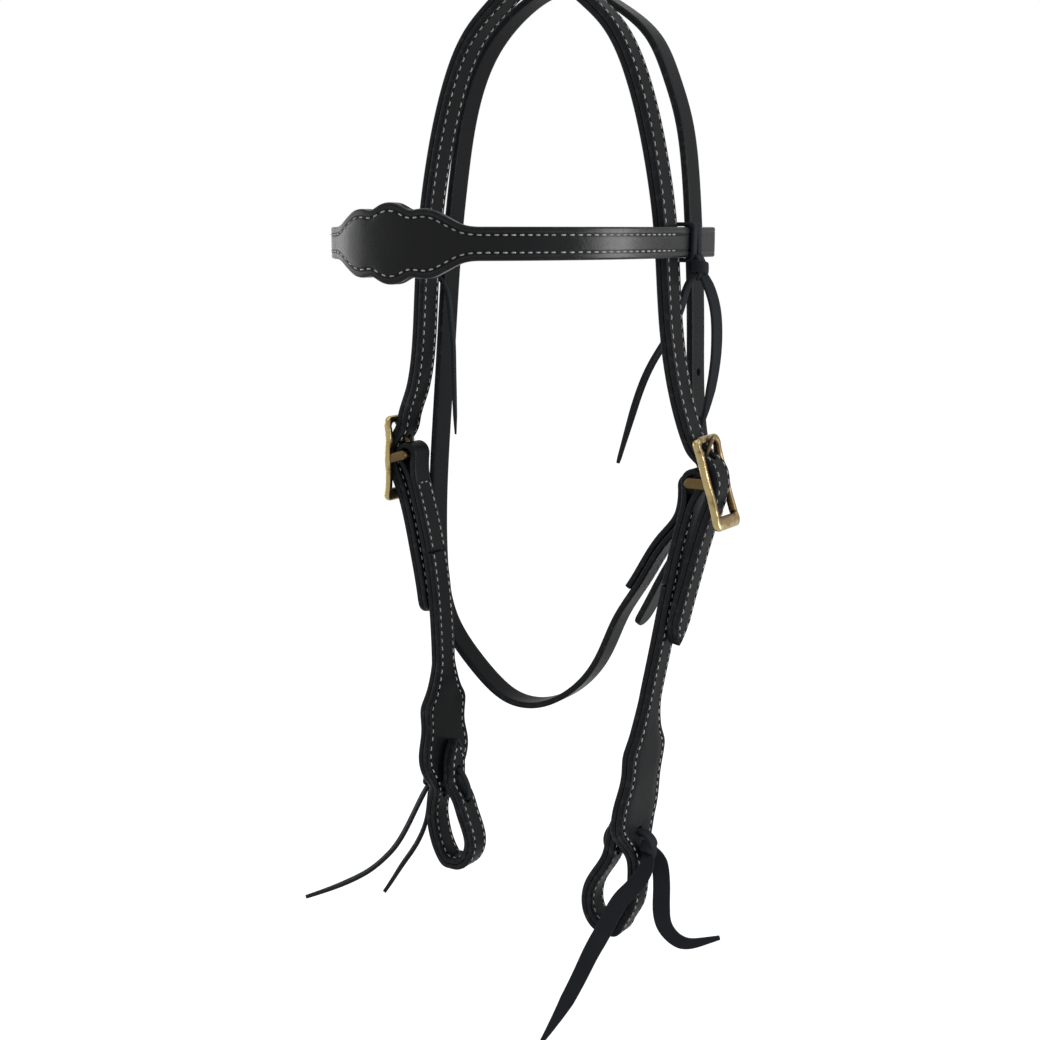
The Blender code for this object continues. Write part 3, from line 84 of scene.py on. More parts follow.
# How finely the surfaces are divided: steps, then counts of stations and of sides
STEP = 0.0010
SAME_PLACE = 1e-9
DENSE = 48
FOLD_TURN = math.radians(6.0)
END_STATIONS = 12
CIRCLE_STATIONS = 24
HALF_STATIONS = 8
SLOT_STATIONS = 8
BROW_STATIONS = 600
LOOP_STATIONS = 28
RING_CORNER_STATIONS = 7
RAIL_STATIONS = 25
FRAME_CORNER_STATIONS = 9
EAR_STATIONS = 18
BAR_STATIONS = 9
EYE_STATIONS = 28
SHANK_STATIONS = 26
LACE_SIDES = 20
METAL_SIDES = 20
EYE_SIDES = 12
SHANK_SIDES = 16

# Where the points of a face lie, from its edge inwards
SPOTS = (0.0, 0.0001, 0.0003, 0.0006, 0.0010, 0.0013, 0.0016, 0.0019, 0.0022, 0.0025, 0.0028, 0.0032, 0.0036,
         0.0039, 0.0042, 0.0050)
BACK_SPOTS = (0.0, 0.0002, 0.0006, 0.0014, 0.0030)
MIDDLE_SHARES = (0.34, 0.68, 1.0)

# The spots are drawn in on a strap whose half width is less than this many times their reach, and a shaped
# end's own stations go on for this many times its length
LEAST_MIDDLE = 1.15
END_CLEAR = 1.02

# Edge, crease, stitch groove, and the pressed line and swell of a panel
EDGE_ROUND = 0.0011
SEAM_ROUND = 0.0004
CREASE_INSET = 0.0015
CREASE_WIDTH = 0.00022
CREASE_DEPTH = 0.00016
ROW_INSET = 0.0025
GROOVE_WIDTH = 0.00048
GROOVE_DEPTH = 0.00022
LOBE_ROW_INSET = 0.0036
BROW_ROW_INSET = 0.0039
LINE_INSET = 0.0039
LINE_WIDTH = 0.00024
LINE_DEPTH = 0.00022
PANEL_RISE = 0.00035
PANEL_GAIN = 2

# Finish of the browband's face and of the linings beside the other straps: polish, and less roughness
BAND_GLOSS = 3.6
BAND_SMOOTH = 0.08
BAND_LINING_GLOSS = 0.7
CHEEK_LINING_GLOSS = 0.85

# Share of the rubbing, which is partly a painted highlight, that reaches a buckle's front face, beside its
# outer edge
FRONT_RUB_AND_HIGHLIGHT = 0.10

# Thread
STITCH_SHARES = (0.0, 0.10, 0.28, 0.50, 0.72, 0.90, 1.0)
STITCH_SWELLS = (0.35, 0.78, 1.0, 1.0, 1.0, 0.78, 0.35)
STITCH_RISES = (-0.95, -0.30, 0.22, 0.34, 0.22, -0.30, -0.95)
STITCH_FILL = 0.74
STITCH_SIDES = 6
ROW_END = 0.0008
CHEEK_PITCH_SHARE = 0.92
LOBE_PITCH_SHARE = 0.84
NEAR_BROW_PLAIN = 0.0100
CROSS_SPAN = (0.12, 0.88)
CROSS_STATIONS = 12

# Crown strap
CROWN_SPREAD = 0.0843
CROWN_DROP = 0.2085
CROWN_SHIFT = 0.0080
POLL_FLAT = 0.0140
POLL_SLOPE = 0.05
CROWN_SHARES = (
    (0.196, 0.00, 0.008), (0.302, 0.00, 0.037), (0.508, 0.00, 0.112), (0.700, 0.00, 0.256),
    (0.832, 0.00, 0.448), (0.905, 0.00, 0.626), (0.947, 0.00, 0.832), (1.000, 0.19, 1.000),
)
NEAR_CROWN_END_SHARES = (1.045, 0.55, 1.095)
OFF_CROWN_END_SHARES = (1.070, 0.55, 1.075)
TAIL_LENGTH = 0.0715
TAIL_INSET = 0.0170
TAIL_SHARES = ((0.16, 0.02, 0.11), (0.60, -0.06, 0.50), (0.96, -0.20, 0.87), (1.05, -0.25, 1.00))
OFF_TAIL_SHARE = 1.035
POINT_LENGTH = 0.0130
ROUND_LENGTH = 0.0080
POINT_SHARES = ((0.0, 0.10), (0.16, 0.34), (0.50, 0.70), (1.0, 1.0))
ROUND_SHARES = ((0.0, 0.30), (0.10, 0.55), (0.30, 0.80), (0.60, 0.95), (1.0, 1.0))

# Buckles
NEAR_BUCKLE_PLACE = (0.1051, 0.0080, -0.2593)
NEAR_BUCKLE_TILT = math.radians(17.1)
NEAR_BILLET_SAG = 0.0045
OFF_BUCKLE_PLACE = (0.1065, 0.0080, -0.2619)
OFF_BUCKLE_TILT = math.radians(1.1)
OFF_BILLET_SAG = 0.0003
CHEEK_BUCKLE_SIZES = (0.0515, 0.0075, 0.0040)
CHEEK_BAR_RADIUS = 0.0020
CHEEK_BAR_RISE = 0.0030
BILLET_CROSSING = 0.0012
BILLET_CROSSING_SHARES = (0.5, 1.5)
BILLET_CREST = 0.0030
BILLET_LEE = 0.0010
BILLET_ROOM = 0.0004
CHEEK_BILLET_RISE = 0.0015
BUCKLE_SIDE_ROOM = 0.0005
BUCKLE_FLARE = 0.0013
BUCKLE_KNUCKLE = 0.0009
KNUCKLE_LENGTH = 0.0130
TOP_CORNER_RADIUS = 0.0050
BOTTOM_CORNER_RADIUS = 0.0040
INNER_CORNER_SHARES = (0.6, 0.3)
RAIL_SHARE = 0.70
KNUCKLE_POWER = 4
EAR_HEIGHT = 0.0062
EAR_WALL = 0.0010
EAR_INSET = 0.0002
EAR_START_SHARE = 0.3
EAR_HALF_SHARE = 0.42
EAR_TIP_LEAST = 0.02
BAR_REACH_SHARE = 0.7
TONGUE_EYE_WALL = 0.0013
TONGUE_THICKNESS = 0.0025
TONGUE_WIDTH = 0.0038
TONGUE_SWING = math.radians(5.0)
TONGUE_OVERHANG = 0.0012
SHANK_BOW = 0.25
SHANK_THINNING = 0.22
SHANK_WAIST = 0.12
SHANK_TIP_START = 0.93
SHANK_TIP_LEAST = 0.05
SHANK_SQUARENESS = 0.75
WIRE_ROUND = 0.0009
HOLE_ROOM = 0.0008
METAL_SQUARENESS = 0.62
THROAT_BUCKLE_PLACE = (0.0905, 0.0310, -0.2655)
THROAT_BUCKLE_TILT = math.radians(2.0)
THROAT_BUCKLE_SIZES = (0.0400, 0.0060, 0.0035)
THROAT_BAR_RADIUS = 0.00175
THROAT_BILLET_RISE = 0.0005

# Folds round the buckle bars
CHEEK_LEAN = math.radians(15.2)
THROAT_LEAN = math.radians(17.6)
FOLD_JOIN = 0.0165
FOLD_WRAP = math.radians(22.0)
SLOT_ROOM = 0.0006
CHEEK_SWING_IN = math.radians(8.0)

# Cheeks
CHEEK_TOP = (0.0955, 0.0080, -0.2616)
CHEEK_INSET = 0.0300
CHEEK_DROP = 0.2074
CHEEK_SHIFT = 0.0080
CHEEK_SHARES = (
    (0.350, 0.88, 0.176), (0.567, 0.88, 0.330), (0.747, 0.50, 0.498), (0.863, 0.00, 0.643),
    (0.910, -0.35, 0.787), (0.970, -0.60, 0.860), (1.003, -0.78, 0.920),
)
CHAPE_LENGTH = 0.0430
LOBE_WIDTH = 0.0435
NEAR_LOBE_SHARES = (
    (0.540, 0.00), (0.583, 0.00), (0.643, 0.20), (0.690, 0.52), (0.720, 0.80), (0.745, 0.83), (0.780, 0.77),
    (0.815, 0.80), (0.860, 0.96), (0.889, 1.00), (0.925, 0.93), (0.965, 0.62), (1.020, 0.06), (1.050, 0.00),
)
OFF_LOBE_SHARES = (
    (0.540, 0.00), (0.583, 0.00), (0.630, 0.20), (0.673, 0.52), (0.701, 0.80), (0.723, 0.83), (0.750, 0.78),
    (0.778, 0.78), (0.815, 0.93), (0.841, 1.00), (0.872, 0.93), (0.910, 0.62), (0.965, 0.06), (0.990, 0.00),
)
LOOP_STRAP_WIDTH = 0.0150
LOOP_NARROWING = 0.05
PLY_FLUSH = 0.0003
LOOP_SET_BACK = 0.0070
LOOP_FLAT = 0.0050
NEAR_DESCENT_SHARES = ((0.965, 0.972), (0.885, 1.040), (0.890, 1.108), (0.985, 1.172), (1.140, 1.212))
NEAR_BOTTOM_SHARES = (1.400, 1.244)
NEAR_ASCENT_SHARES = (
    (1.680, 1.234), (1.825, 1.205), (1.865, 1.170), (1.800, 1.125), (1.620, 1.080), (1.430, 1.030),
    (1.335, 0.965),
)
NEAR_TIP_SHARE = 0.880
OFF_DESCENT_SHARES = ((0.930, 0.965), (0.840, 1.020), (0.870, 1.072), (0.960, 1.118), (1.090, 1.154))
OFF_BOTTOM_SHARES = (1.310, 1.170)
OFF_ASCENT_SHARES = (
    (1.550, 1.163), (1.710, 1.136), (1.770, 1.100), (1.710, 1.060), (1.580, 1.015), (1.430, 0.965),
)
OFF_TIP_SHARE = 0.802
TIE_HOLE_RADIUS = 0.0029
NEAR_HOLE_SHARES = (0.952, 1.020)
OFF_HOLE_SHARES = (0.894, 0.972)

# Throatlatch
THROAT_SPREAD = 0.0889
THROAT_DROP = 0.4094
THROAT_SHIFT = 0.0310
THROAT_SHARES = (
    (0.745, 1.00, 0.734), (0.572, 0.98, 0.794), (0.403, 0.97, 0.852), (0.306, 0.95, 0.900),
    (0.222, 0.94, 0.933), (0.087, 0.90, 0.966), (-0.105, 0.84, 0.992),
    (-0.264, 0.83, 1.000), (-0.427, 0.84, 0.996), (-0.616, 0.85, 0.972), (-0.754, 0.85, 0.945),
    (-0.938, 0.84, 0.893), (-1.022, 0.83, 0.800), (-1.014, 0.81, 0.693), (-0.969, 0.77, 0.585),
    (-0.902, 0.70, 0.453), (-0.839, 0.69, 0.310), (-0.794, 0.69, 0.240), (-0.722, 0.71, 0.155),
    (-0.565, 0.74, 0.074), (-0.332, 0.79, 0.022), (-0.112, 0.84, -0.002), (0.112, 0.89, -0.002),
    (0.337, 0.94, 0.022), (0.579, 0.97, 0.065), (0.703, 0.98, 0.117), (0.782, 1.00, 0.168),
    (0.841, 1.00, 0.245), (0.874, 1.00, 0.342), (0.893, 1.00, 0.441), (0.900, 1.00, 0.508),
)
THROAT_CHAPE_LENGTH = 0.0570
THROAT_TAIL_LENGTH = 0.0700
THROAT_TAIL_INSET = 0.0395
THROAT_TAIL_SHARES = ((0.11, 0.0, 0.12), (0.52, 0.0, 0.50), (0.86, 0.0, 0.86), (1.00, 0.0, 1.00))
THROAT_HOLE_PITCH = 0.0265
THROAT_HOLE_RADIUS = 0.0022
SPARE_HOLE_STEPS = (-2, -1, 1)

# Browband
BROW_DOWN = 0.1332
BROW_BULGE = 0.1370
BROW_HALF = 0.0835
BROW_START = 0.0050
BROW_POWER = 2.3
BROW_LOBE_HEIGHT = 0.0389
BROW_LOBES_HALF = 0.0400
BROW_SHARES = (
    (0.000, 1.00), (0.070, 0.980), (0.160, 0.88), (0.240, 0.745), (0.295, 0.69), (0.360, 0.705),
    (0.440, 0.74), (0.520, 0.73), (0.600, 0.665), (0.690, 0.52), (0.800, 0.32), (0.910, 0.13),
    (1.040, 0.02), (1.150, 0.00),
)
BROW_RETURN = 0.0220
BROW_MERGE = 0.0170
CROWN_PLAY = 0.0018
NEAR_THROAT_PLAY = 0.0010
OFF_THROAT_PLAY = 0.0017
LOOP_END_ROOM = 0.0020
LOOP_END_SHARE = 1 / 3

# Laces
LACE_WIDTH = 0.0100
LACE_IN_HOLE = 0.0036
LACE_SQUARENESS = 0.45
LACE_CUP = 0.10
LACE_STAND = 0.0009
LACE_TURN_SHARE = 0.20
KNOT_DOWN_SHARE = 0.18
BIT_KNOT_SIZES = (0.0056, 0.0130, 0.0125)
BROW_LACE_WIDTH = 0.0046
BROW_LACE_TAIL = 0.0078
BROW_LACE_GAP = 0.0006
BROW_RING_CORNER = 0.0018
BROW_KNOT_SIZES = (0.0085, 0.0105, 0.0126)
BROW_KNOT_SHARES = (0.2, 0.42)
BROW_HANG_SHARES = ((-0.10, 0.5), (0.25, 0.0), (0.05, -0.5))
BROW_HANG_WIDTH_SHARE = 0.75
BROW_WRAP_SHARE = 0.75
TAIL_REACH = 0.1000
NEAR_BIT_TAIL_SHARES = (
    (0.000, -0.015, 0.005), (0.032, -0.070, 0.065), (0.014, -0.105, 0.125), (-0.028, -0.125, 0.190),
    (-0.081, -0.140, 0.255), (-0.131, -0.155, 0.345), (-0.178, -0.180, 0.460), (-0.236, -0.200, 0.583),
    (-0.290, -0.220, 0.715), (-0.403, -0.250, 0.966), (-0.539, -0.270, 1.218),
)
NEAR_BIT_SHORT_SHARES = (
    (0.000, 0.015, -0.005), (0.039, 0.045, 0.060), (0.057, 0.055, 0.150), (0.054, 0.070, 0.250),
    (0.046, 0.085, 0.350), (0.045, 0.105, 0.448), (0.059, 0.140, 0.525), (0.133, 0.190, 0.600),
    (0.230, 0.250, 0.593), (0.318, 0.290, 0.563),
)
OFF_BIT_TAIL_SHARES = (
    (0.005, -0.015, 0.005), (0.070, -0.020, 0.125), (0.131, -0.040, 0.260), (0.150, -0.080, 0.330),
    (0.180, -0.155, 0.422), (0.214, -0.210, 0.477), (0.261, -0.270, 0.531), (0.343, -0.340, 0.590),
    (0.471, -0.420, 0.656), (0.605, -0.490, 0.714),
)
OFF_BIT_SHORT_SHARES = (
    (0.005, 0.015, 0.005), (0.035, 0.020, 0.115), (0.050, 0.010, 0.260), (0.078, -0.030, 0.381),
    (0.100, -0.060, 0.439), (0.125, -0.100, 0.496), (0.149, -0.140, 0.552), (0.170, -0.180, 0.608),
    (0.202, -0.230, 0.682),
)
NEAR_BROW_LONG_SHARES = (
    (0.000, 0.000, 0.000), (0.050, 0.020, 0.100), (0.085, 0.035, 0.230), (0.090, 0.045, 0.340),
    (0.085, 0.045, 0.500), (0.068, 0.028, 0.660), (0.036, 0.030, 0.790), (0.014, 0.028, 0.860),
)
NEAR_BROW_INNER_SHARES = (
    (-0.010, -0.010, 0.010), (-0.065, -0.012, 0.105), (-0.090, -0.014, 0.190), (-0.160, -0.014, 0.350),
    (-0.262, -0.014, 0.510), (-0.342, -0.014, 0.680), (-0.395, -0.020, 0.850), (-0.460, -0.030, 1.080),
)
OFF_BROW_INNER_SHARES = (
    (-0.010, 0.000, 0.010), (-0.110, 0.002, 0.080), (-0.158, 0.006, 0.160), (-0.170, 0.020, 0.290),
    (-0.172, 0.040, 0.430), (-0.174, 0.045, 0.600), (-0.178, 0.045, 0.800), (-0.186, 0.040, 1.000),
)
TAIL_TAPER_SHARES = ((0.00, 0.62), (0.12, 0.95), (0.45, 1.00), (0.75, 0.85), (1.00, 0.22))
NEAR_BIT_TAIL_WAYS = (0.90, 0.43, 0.0), (0.85, 0.52, 0.0)
OFF_BIT_TAIL_WAYS = (0.60, 0.80, 0.0), (0.60, 0.80, 0.0)
BROW_TAIL_WAYS = (0.35, 0.94, 0.0), (0.0, 1.0, 0.0)

# Shape of the knots: places as shares of the knot's thickness, width and height
WRAP_SHARES = (
    (-0.30, -0.46, 0.10), (0.20, -0.43, 0.09), (0.58, -0.22, 0.04), (0.68, 0.00, 0.00),
    (0.58, 0.22, -0.04), (0.20, 0.43, -0.09), (-0.30, 0.46, -0.10),
)
WRAP_HEIGHT_SHARE = 0.50
WRAP_CUP = -0.06
BIGHT_SHARES = ((0.72, 0.30), (1.05, 0.70), (0.55, 1.00), (0.00, 1.25))
BIGHT_WIDTH = 0.0076
BIGHT_WIDTH_PLACES = (0.0, 0.30, 0.52, 0.80, 1.0)
BIGHT_WIDTHS = (LACE_IN_HOLE, LACE_IN_HOLE, BIGHT_WIDTH, BIGHT_WIDTH, LACE_IN_HOLE)
BIT_KNOT_LEAN = math.radians(28.0)

# Clouds of the finishes: how many to the metre, and the count and strength of the finer ones over them
DYE_CLOUD = (38.0, 4.0, 0.6)
POLISH_STREAK = (9.0, 2.0)
RUB_AND_HIGHLIGHT_CLOUD = (260.0, 5.0, 0.7)
LACE_CLOUD = (60.0, 4.0, 0.6)
LACE_FIBRE = (900.0, 4.0, 0.7)
LACE_CREASE = (190.0, 2.0)
THREAD_CLOUD = (140.0, 3.0, 0.6)
THREAD_GRIME = (45.0, 2.0)
BRASS_CLOUD = (120.0, 5.0, 0.62)
BRASS_SPOTS = (420.0, 4.0, 0.7)
BRASS_PITS = 1500.0
BRASS_SCRATCHES = (500, 500, 4000)
SCRATCH_CLOUD = (1.0, 2.0)

# How far in from a strap's edge the face begins, the rubbed places and their painted highlight end, and the
# waxed edge is paler, partly as a painted highlight, and shines
FACE_BAND = (0.0003, 0.0012)
WORN_AND_HIGHLIGHT_BAND = (0.0002, 0.0016)
PALE_BAND = (0.0, 0.0007)
SHINE_BAND = (0.0002, 0.0010)

# Tones of the places of a finish, as shares of its colour
DYE_TONES = (0.72, 1.35)
# Paler waxed edge, partly a painted highlight along it; the lace's frayed fibres use it too
EDGE_TONE = 2.6
# Rubbed places and the dusted crease, both partly painted highlight lines
WORN_AND_HIGHLIGHT_TONE = 9.0
# Painted shade in the stitch groove
GROOVE_SHADE_TONE = 0.2
LACE_TONES = (0.75, 1.3)
THREAD_TONES = (0.7, 1.15)
# Grime, and painted shade between the strands
THREAD_GRIME_AND_SHADE_TONE = 0.35
# Painted shade where the thread goes into its holes
THREAD_HOLE_SHADE_TONE = 0.05
WAX_ROUGHNESS = 0.22

# Finish of the bridle leather: bands of cloud, streak, the dusted crease (partly a painted highlight line)
# and furrow (painted shade in the stitch groove), and what each of them does
PORES_SHARE = 0.8
PORES_DETAIL = 4.0
CLOUD_BAND = (0.3, 0.7)
CLOUD_ROUGHNESS = (-0.05, 0.07)
STREAK_BAND = (0.35, 0.65)
STREAK_ROUGHNESS = (-0.03, 0.05)
WORN_AND_HIGHLIGHT_CLOUD = (0.50, 0.72)
PALE_EDGE_AND_HIGHLIGHT_SHARE = 0.9
DUST_AND_HIGHLIGHT_CLOUD = (0.35, 0.75)
DUST_AND_HIGHLIGHT_SHARES = (0.1, 0.55)
FURROW_BAND = (0.02, 0.5)
FURROW_SHADE_SHARE = 0.85
FURROW_ROUGHNESS = 0.4
SHINE_ROUGHNESS = -0.06
PORES_RELIEF = 0.5
PEBBLE_RELIEF = 0.9
EDGE_RELIEF = 0.25
GRAIN_STRENGTH = 0.8

# Finish of the laces
FIBRE_BAND = (0.4, 0.7)
FIBRE_SHARE = 0.5
FIBRE_RELIEF = 0.6
CREASE_RELIEF = 1.4
LACE_RELIEF_SHARE = 1.6
LACE_ROUGHNESS = (0.58, 0.72)

# Finish of the thread, with painted shade between its strands and where it goes into its holes
GRIME_BAND = (0.42, 0.66)
GRIME_SHARE = 0.55
HOLE_SHADE_SHARE = 0.9
STRAND_SHADE_BAND = (0.0, 0.35)
STRAND_SHADE_SHARE = 0.5
STRAND_DEPTH = 0.22
STRAND_STRENGTH = 0.9
THREAD_ROUGHNESS = (0.42, 0.6)
THREAD_SHEEN = 0.15

# Finish of the brass: what rubbing, partly a painted highlight on the outer edge face, takes from the patina,
# what spots and clouds add, where it sets in
RUB_AND_HIGHLIGHT_SHARES = (-0.36, 0.20)
SPOTS_SHARE = 0.30
CLOUDS_SHARE = 0.90
PATINA_BAND = (0.46, 0.74)
BRASS_ROUGHNESS = (0.25, 0.46)
SCRATCH_BAND = (0.45, 0.7)
SCRATCH_ROUGHNESS = (-0.03, 0.06)
PITS_RELIEF = 0.35
BRASS_DEPTH = 0.00008
BRASS_STRENGTH = 0.5

# Lamps: the most power that a user may set, and each one's place, width and height, and power setting
MOST_POWER = 200.0
LAMPS = (
    ("key_lamp", (1.05, 0.66, -0.12), (0.30, 0.7), "key"),
    ("side_lamp", (-1.20, -0.22, -0.12), (1.0, 0.7), "side"),
    ("top_lamp", (-0.2, -0.3, 1.30), (1.4, 1.4), "fill"),
)

# Surround and paper
WHITE = (1.0, 1.0, 1.0, 1.0)
PAPER = (0.92, 0.92, 0.92, 1.0)
PAPER_GLOW = 1.22
PAPER_GLOW_SHARE = 0.72

# The photograph's camera
CAMERA_PLACE = (0.4648, -0.7439, -0.1266)
CAMERA_TARGET = (-0.0146, 0.0, -0.2906)
CAMERA_LENS = 54.24
CAMERA_SENSOR = 36.0
CAMERA_NEAR = 0.01


# Lines and sections


def unit(vectors):
    """Vectors at length one."""
    return vectors / np.linalg.norm(vectors, axis=-1, keepdims=True)


def ruler(line):
    """Distance of each point of a line from its start."""
    steps = np.linalg.norm(np.diff(line, axis=0), axis=1)
    return np.concatenate(((0.0,), np.cumsum(steps)))


def between(places, marks, rows):
    """Rows of three numbers, each known at its mark, read at other places."""
    return np.stack([np.interp(places, marks, rows[:, axis]) for axis in range(3)], axis=-1)


def at(line, distances):
    """Points of a line at the given distances from its start."""
    return between(distances, ruler(line), line)


def even(line):
    """The same line in even steps of about the usual length."""
    total = ruler(line)[-1]
    return at(line, np.linspace(0, total, max(2, math.ceil(total / STEP) + 1)))


def knot_slopes(times, knots, first, last):
    """Slopes at the knots at which the curve's bend has no break: the three-term rule, solved at once."""
    steps = np.diff(times)
    rises = np.diff(knots, axis=0)
    count = len(knots)
    below = np.append(1 / steps[:-1], 0.0)
    above = np.append(0.0, 1 / steps[1:])
    middle = np.ones(count)
    middle[1:-1] = 2 / steps[:-1] + 2 / steps[1:]
    right = np.zeros((count, knots.shape[1]))
    right[1:-1] = 3 * (rises[:-1] / steps[:-1, None] ** 2 + rises[1:] / steps[1:, None] ** 2)
    if first is None:
        middle[0], above[0] = 2, 1
        right[0] = 3 * rises[0] / steps[0]
    else:
        right[0] = unit(np.array(first, float))
    if last is None:
        middle[-1], below[-1] = 2, 1
        right[-1] = 3 * rises[-1] / steps[-1]
    else:
        right[-1] = unit(np.array(last, float))
    return np.linalg.solve(np.diag(middle) + np.diag(below, -1) + np.diag(above, 1), right)


def cubic(share, span, first, last, first_slope, last_slope):
    """The cubic between two knots, by the share s of the span: (1 + 2s)(1 - s)^2 times the first value, plus
    s(1 - s)^2 times the span and the first slope, plus s^2 (3 - 2s) times the last value, plus s^2 (s - 1)
    times the span and the last slope."""
    start = (1 + 2 * share) * (1 - share) ** 2 * first
    leave = share * (1 - share) ** 2 * span * first_slope
    end = share**2 * (3 - 2 * share) * last
    arrive = share**2 * (share - 1) * span * last_slope
    return start + leave + end + arrive


def spline(knots, first=None, last=None):
    """Smooth line through the knots: between two of them, the cubic with the knots' own slopes."""
    knots = np.array(knots, float)
    times = ruler(knots)
    slopes = knot_slopes(times, knots, first, last)
    share = np.linspace(0, 1, DENSE)[None, :, None]
    span = np.diff(times)[:, None, None]
    line = cubic(share, span, knots[:-1, None], knots[1:, None], slopes[:-1, None], slopes[1:, None])
    line = line.reshape(-1, 3)
    kept = np.append(True, np.linalg.norm(np.diff(line, axis=0), axis=1) > SAME_PLACE)
    return even(line[kept])


def swelling(places, table):
    """Swell at each place by the table: a smooth curve through its rows, level at both ends."""
    rows = np.array(table, float)
    slopes = knot_slopes(rows[:, 0], rows[:, 1:], None, None)[:, 0]
    slopes[[0, -1]] = 0.0
    index = np.clip(np.searchsorted(rows[:, 0], places) - 1, 0, len(rows) - 2)
    span = rows[index + 1, 0] - rows[index, 0]
    share = np.clip((places - rows[index, 0]) / span, 0, 1)
    swell = cubic(share, span, rows[index, 1], rows[index + 1, 1], slopes[index], slopes[index + 1])
    return np.clip(swell, 0, 1)


def headings(line):
    """Direction of the line at each of its points."""
    return unit(np.gradient(line, ruler(line), axis=0))


def outward(line, side=Y_AXIS):
    """Direction across the ply at each point: the line's heading turned about the strap's width."""
    return unit(np.cross(headings(line), side))


def layer(line, distance, side=Y_AXIS):
    """The same line, moved across the ply."""
    return line + outward(line, side) * distance


def at_height(line, height):
    """The line's point at a height, for a stretch that only climbs or only falls."""
    climbing = line[np.argsort(line[:, 2])]
    return between(height, climbing[:, 2], climbing)


def shaped(line, half, start=None, end=None):
    """Stations and half widths with shaped ends: each end is a length and a table of shares from its tip."""
    marks = ruler(line)
    total = marks[-1]
    places = np.linspace(0, total, len(line))
    fine = 1 - np.cos(np.linspace(0, math.pi / 2, END_STATIONS))
    if start:
        places = np.concatenate((start[0] * fine, places[places > start[0] * END_CLEAR]))
    if end:
        places = np.concatenate((places[places < total - end[0] * END_CLEAR], total - end[0] * fine[::-1]))
    widths = np.interp(places, marks, half)
    for given, away in ((start, places), (end, total - places)):
        if given:
            steps, shares = zip(*given[1])
            widths = widths * np.interp(away / given[0], steps, shares)
    return at(line, places), widths


# Meshes


def volume(vertices, faces):
    """Six times the signed volume: each face as a fan from its first corner."""
    first = vertices[faces[:, :1]]
    fan = vertices[faces[:, 1:]]
    return float((first * np.cross(fan[:, :-1], fan[:, 1:])).sum())


def shell(rings, closed=False, **layers):
    """A skin through rings of equal corner counts, its ends closed by one face each. Corner k of ring i joins
    corner k of ring i + 1. Rings may have a leading axis: as many separate skins."""
    rings = rings if rings.ndim == 4 else rings[None]
    many, count, corners, _ = rings.shape
    vertices = rings.reshape(-1, 3)
    base = (np.arange(many) * count * corners)[:, None, None]
    ring = np.arange(count if closed else count - 1)[None, :, None]
    corner = np.arange(corners)[None, None, :]
    here = base + ring * corners
    there = base + (ring + 1) % count * corners
    after = (corner + 1) % corners
    quads = np.stack((here + corner, here + after, there + after, there + corner), axis=-1).reshape(-1, 4)
    caps = np.zeros((0, corners), int)
    if not closed:
        start = base[:, 0] + np.arange(corners)[None, ::-1]
        finish = base[:, 0] + (count - 1) * corners + np.arange(corners)[None]
        caps = np.concatenate((start, finish))
    size = volume(vertices, quads)
    if len(caps):
        size += volume(vertices, caps)
    if size < 0:
        quads = quads[:, ::-1]
        caps = caps[:, ::-1]
    shape = (many, count, corners)
    flat = {name: np.broadcast_to(values, shape).reshape(-1) for name, values in layers.items()}
    return {"vertices": vertices, "faces": [quads, caps], "layers": flat}


def make_mesh(name, shells, mirrored=False):
    """One mesh from several skins, with their layers as point attributes."""
    vertices = np.concatenate([part["vertices"] for part in shells])
    offset = 0
    loops = []
    totals = []
    for part in shells:
        for faces in part["faces"]:
            if len(faces):
                turned = faces[:, ::-1] if mirrored else faces
                loops.append((turned + offset).ravel())
                totals.append(np.full(len(faces), faces.shape[1]))
        offset += len(part["vertices"])
    loops = np.concatenate(loops).astype(np.int32)
    totals = np.concatenate(totals).astype(np.int32)
    if mirrored:
        vertices = vertices * MIRROR
    mesh = bpy.data.meshes.new(name)
    mesh.vertices.add(len(vertices))
    mesh.vertices.foreach_set("co", vertices.astype(np.float32).ravel())
    mesh.loops.add(len(loops))
    mesh.loops.foreach_set("vertex_index", loops)
    mesh.polygons.add(len(totals))
    mesh.polygons.foreach_set("loop_start", np.append(0, np.cumsum(totals)[:-1]).astype(np.int32))
    mesh.polygons.foreach_set("use_smooth", totals == 4)
    mesh.update(calc_edges=True)
    names = sorted({key for part in shells for key in part["layers"]})
    for key in names:
        values = [part["layers"].get(key, np.zeros(len(part["vertices"]))) for part in shells]
        attribute = mesh.attributes.new(key, "FLOAT", "POINT")
        attribute.data.foreach_set("value", np.concatenate(values).astype(np.float32))
    mesh.validate()
    return mesh


def add_piece(name, shells, material, body, nodes=(), mirrored=False):
    """A finished piece in the scene, riding on its body and standing for its solids."""
    mesh = make_mesh(name, shells, mirrored)
    mesh.materials.append(material)
    piece = bpy.data.objects.new(name, mesh)
    bpy.context.scene.collection.objects.link(piece)
    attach(piece, body)
    if nodes:
        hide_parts(*nodes)
    return piece


def prism(outline, centre, first, second, third, reach):
    """A prism on an outline in two directions, reaching equally far both ways along the third."""
    points = np.array(outline)
    flat = centre + points[:, :1] * first + points[:, 1:] * second
    return shell(np.stack((flat - third * reach, flat + third * reach)))


def full_turn(count):
    """Evenly spaced angles, once round."""
    return np.linspace(0, 2 * math.pi, count, endpoint=False)


def squarish(count, power):
    """Across and up of a superellipse of size one: the cosine and the sine of the angle, each with its sign
    and its size raised to the power. The smaller the power, the squarer it is."""
    across, up = np.cos(full_turn(count)), np.sin(full_turn(count))
    return np.sign(across) * np.abs(across) ** power, np.sign(up) * np.abs(up) ** power


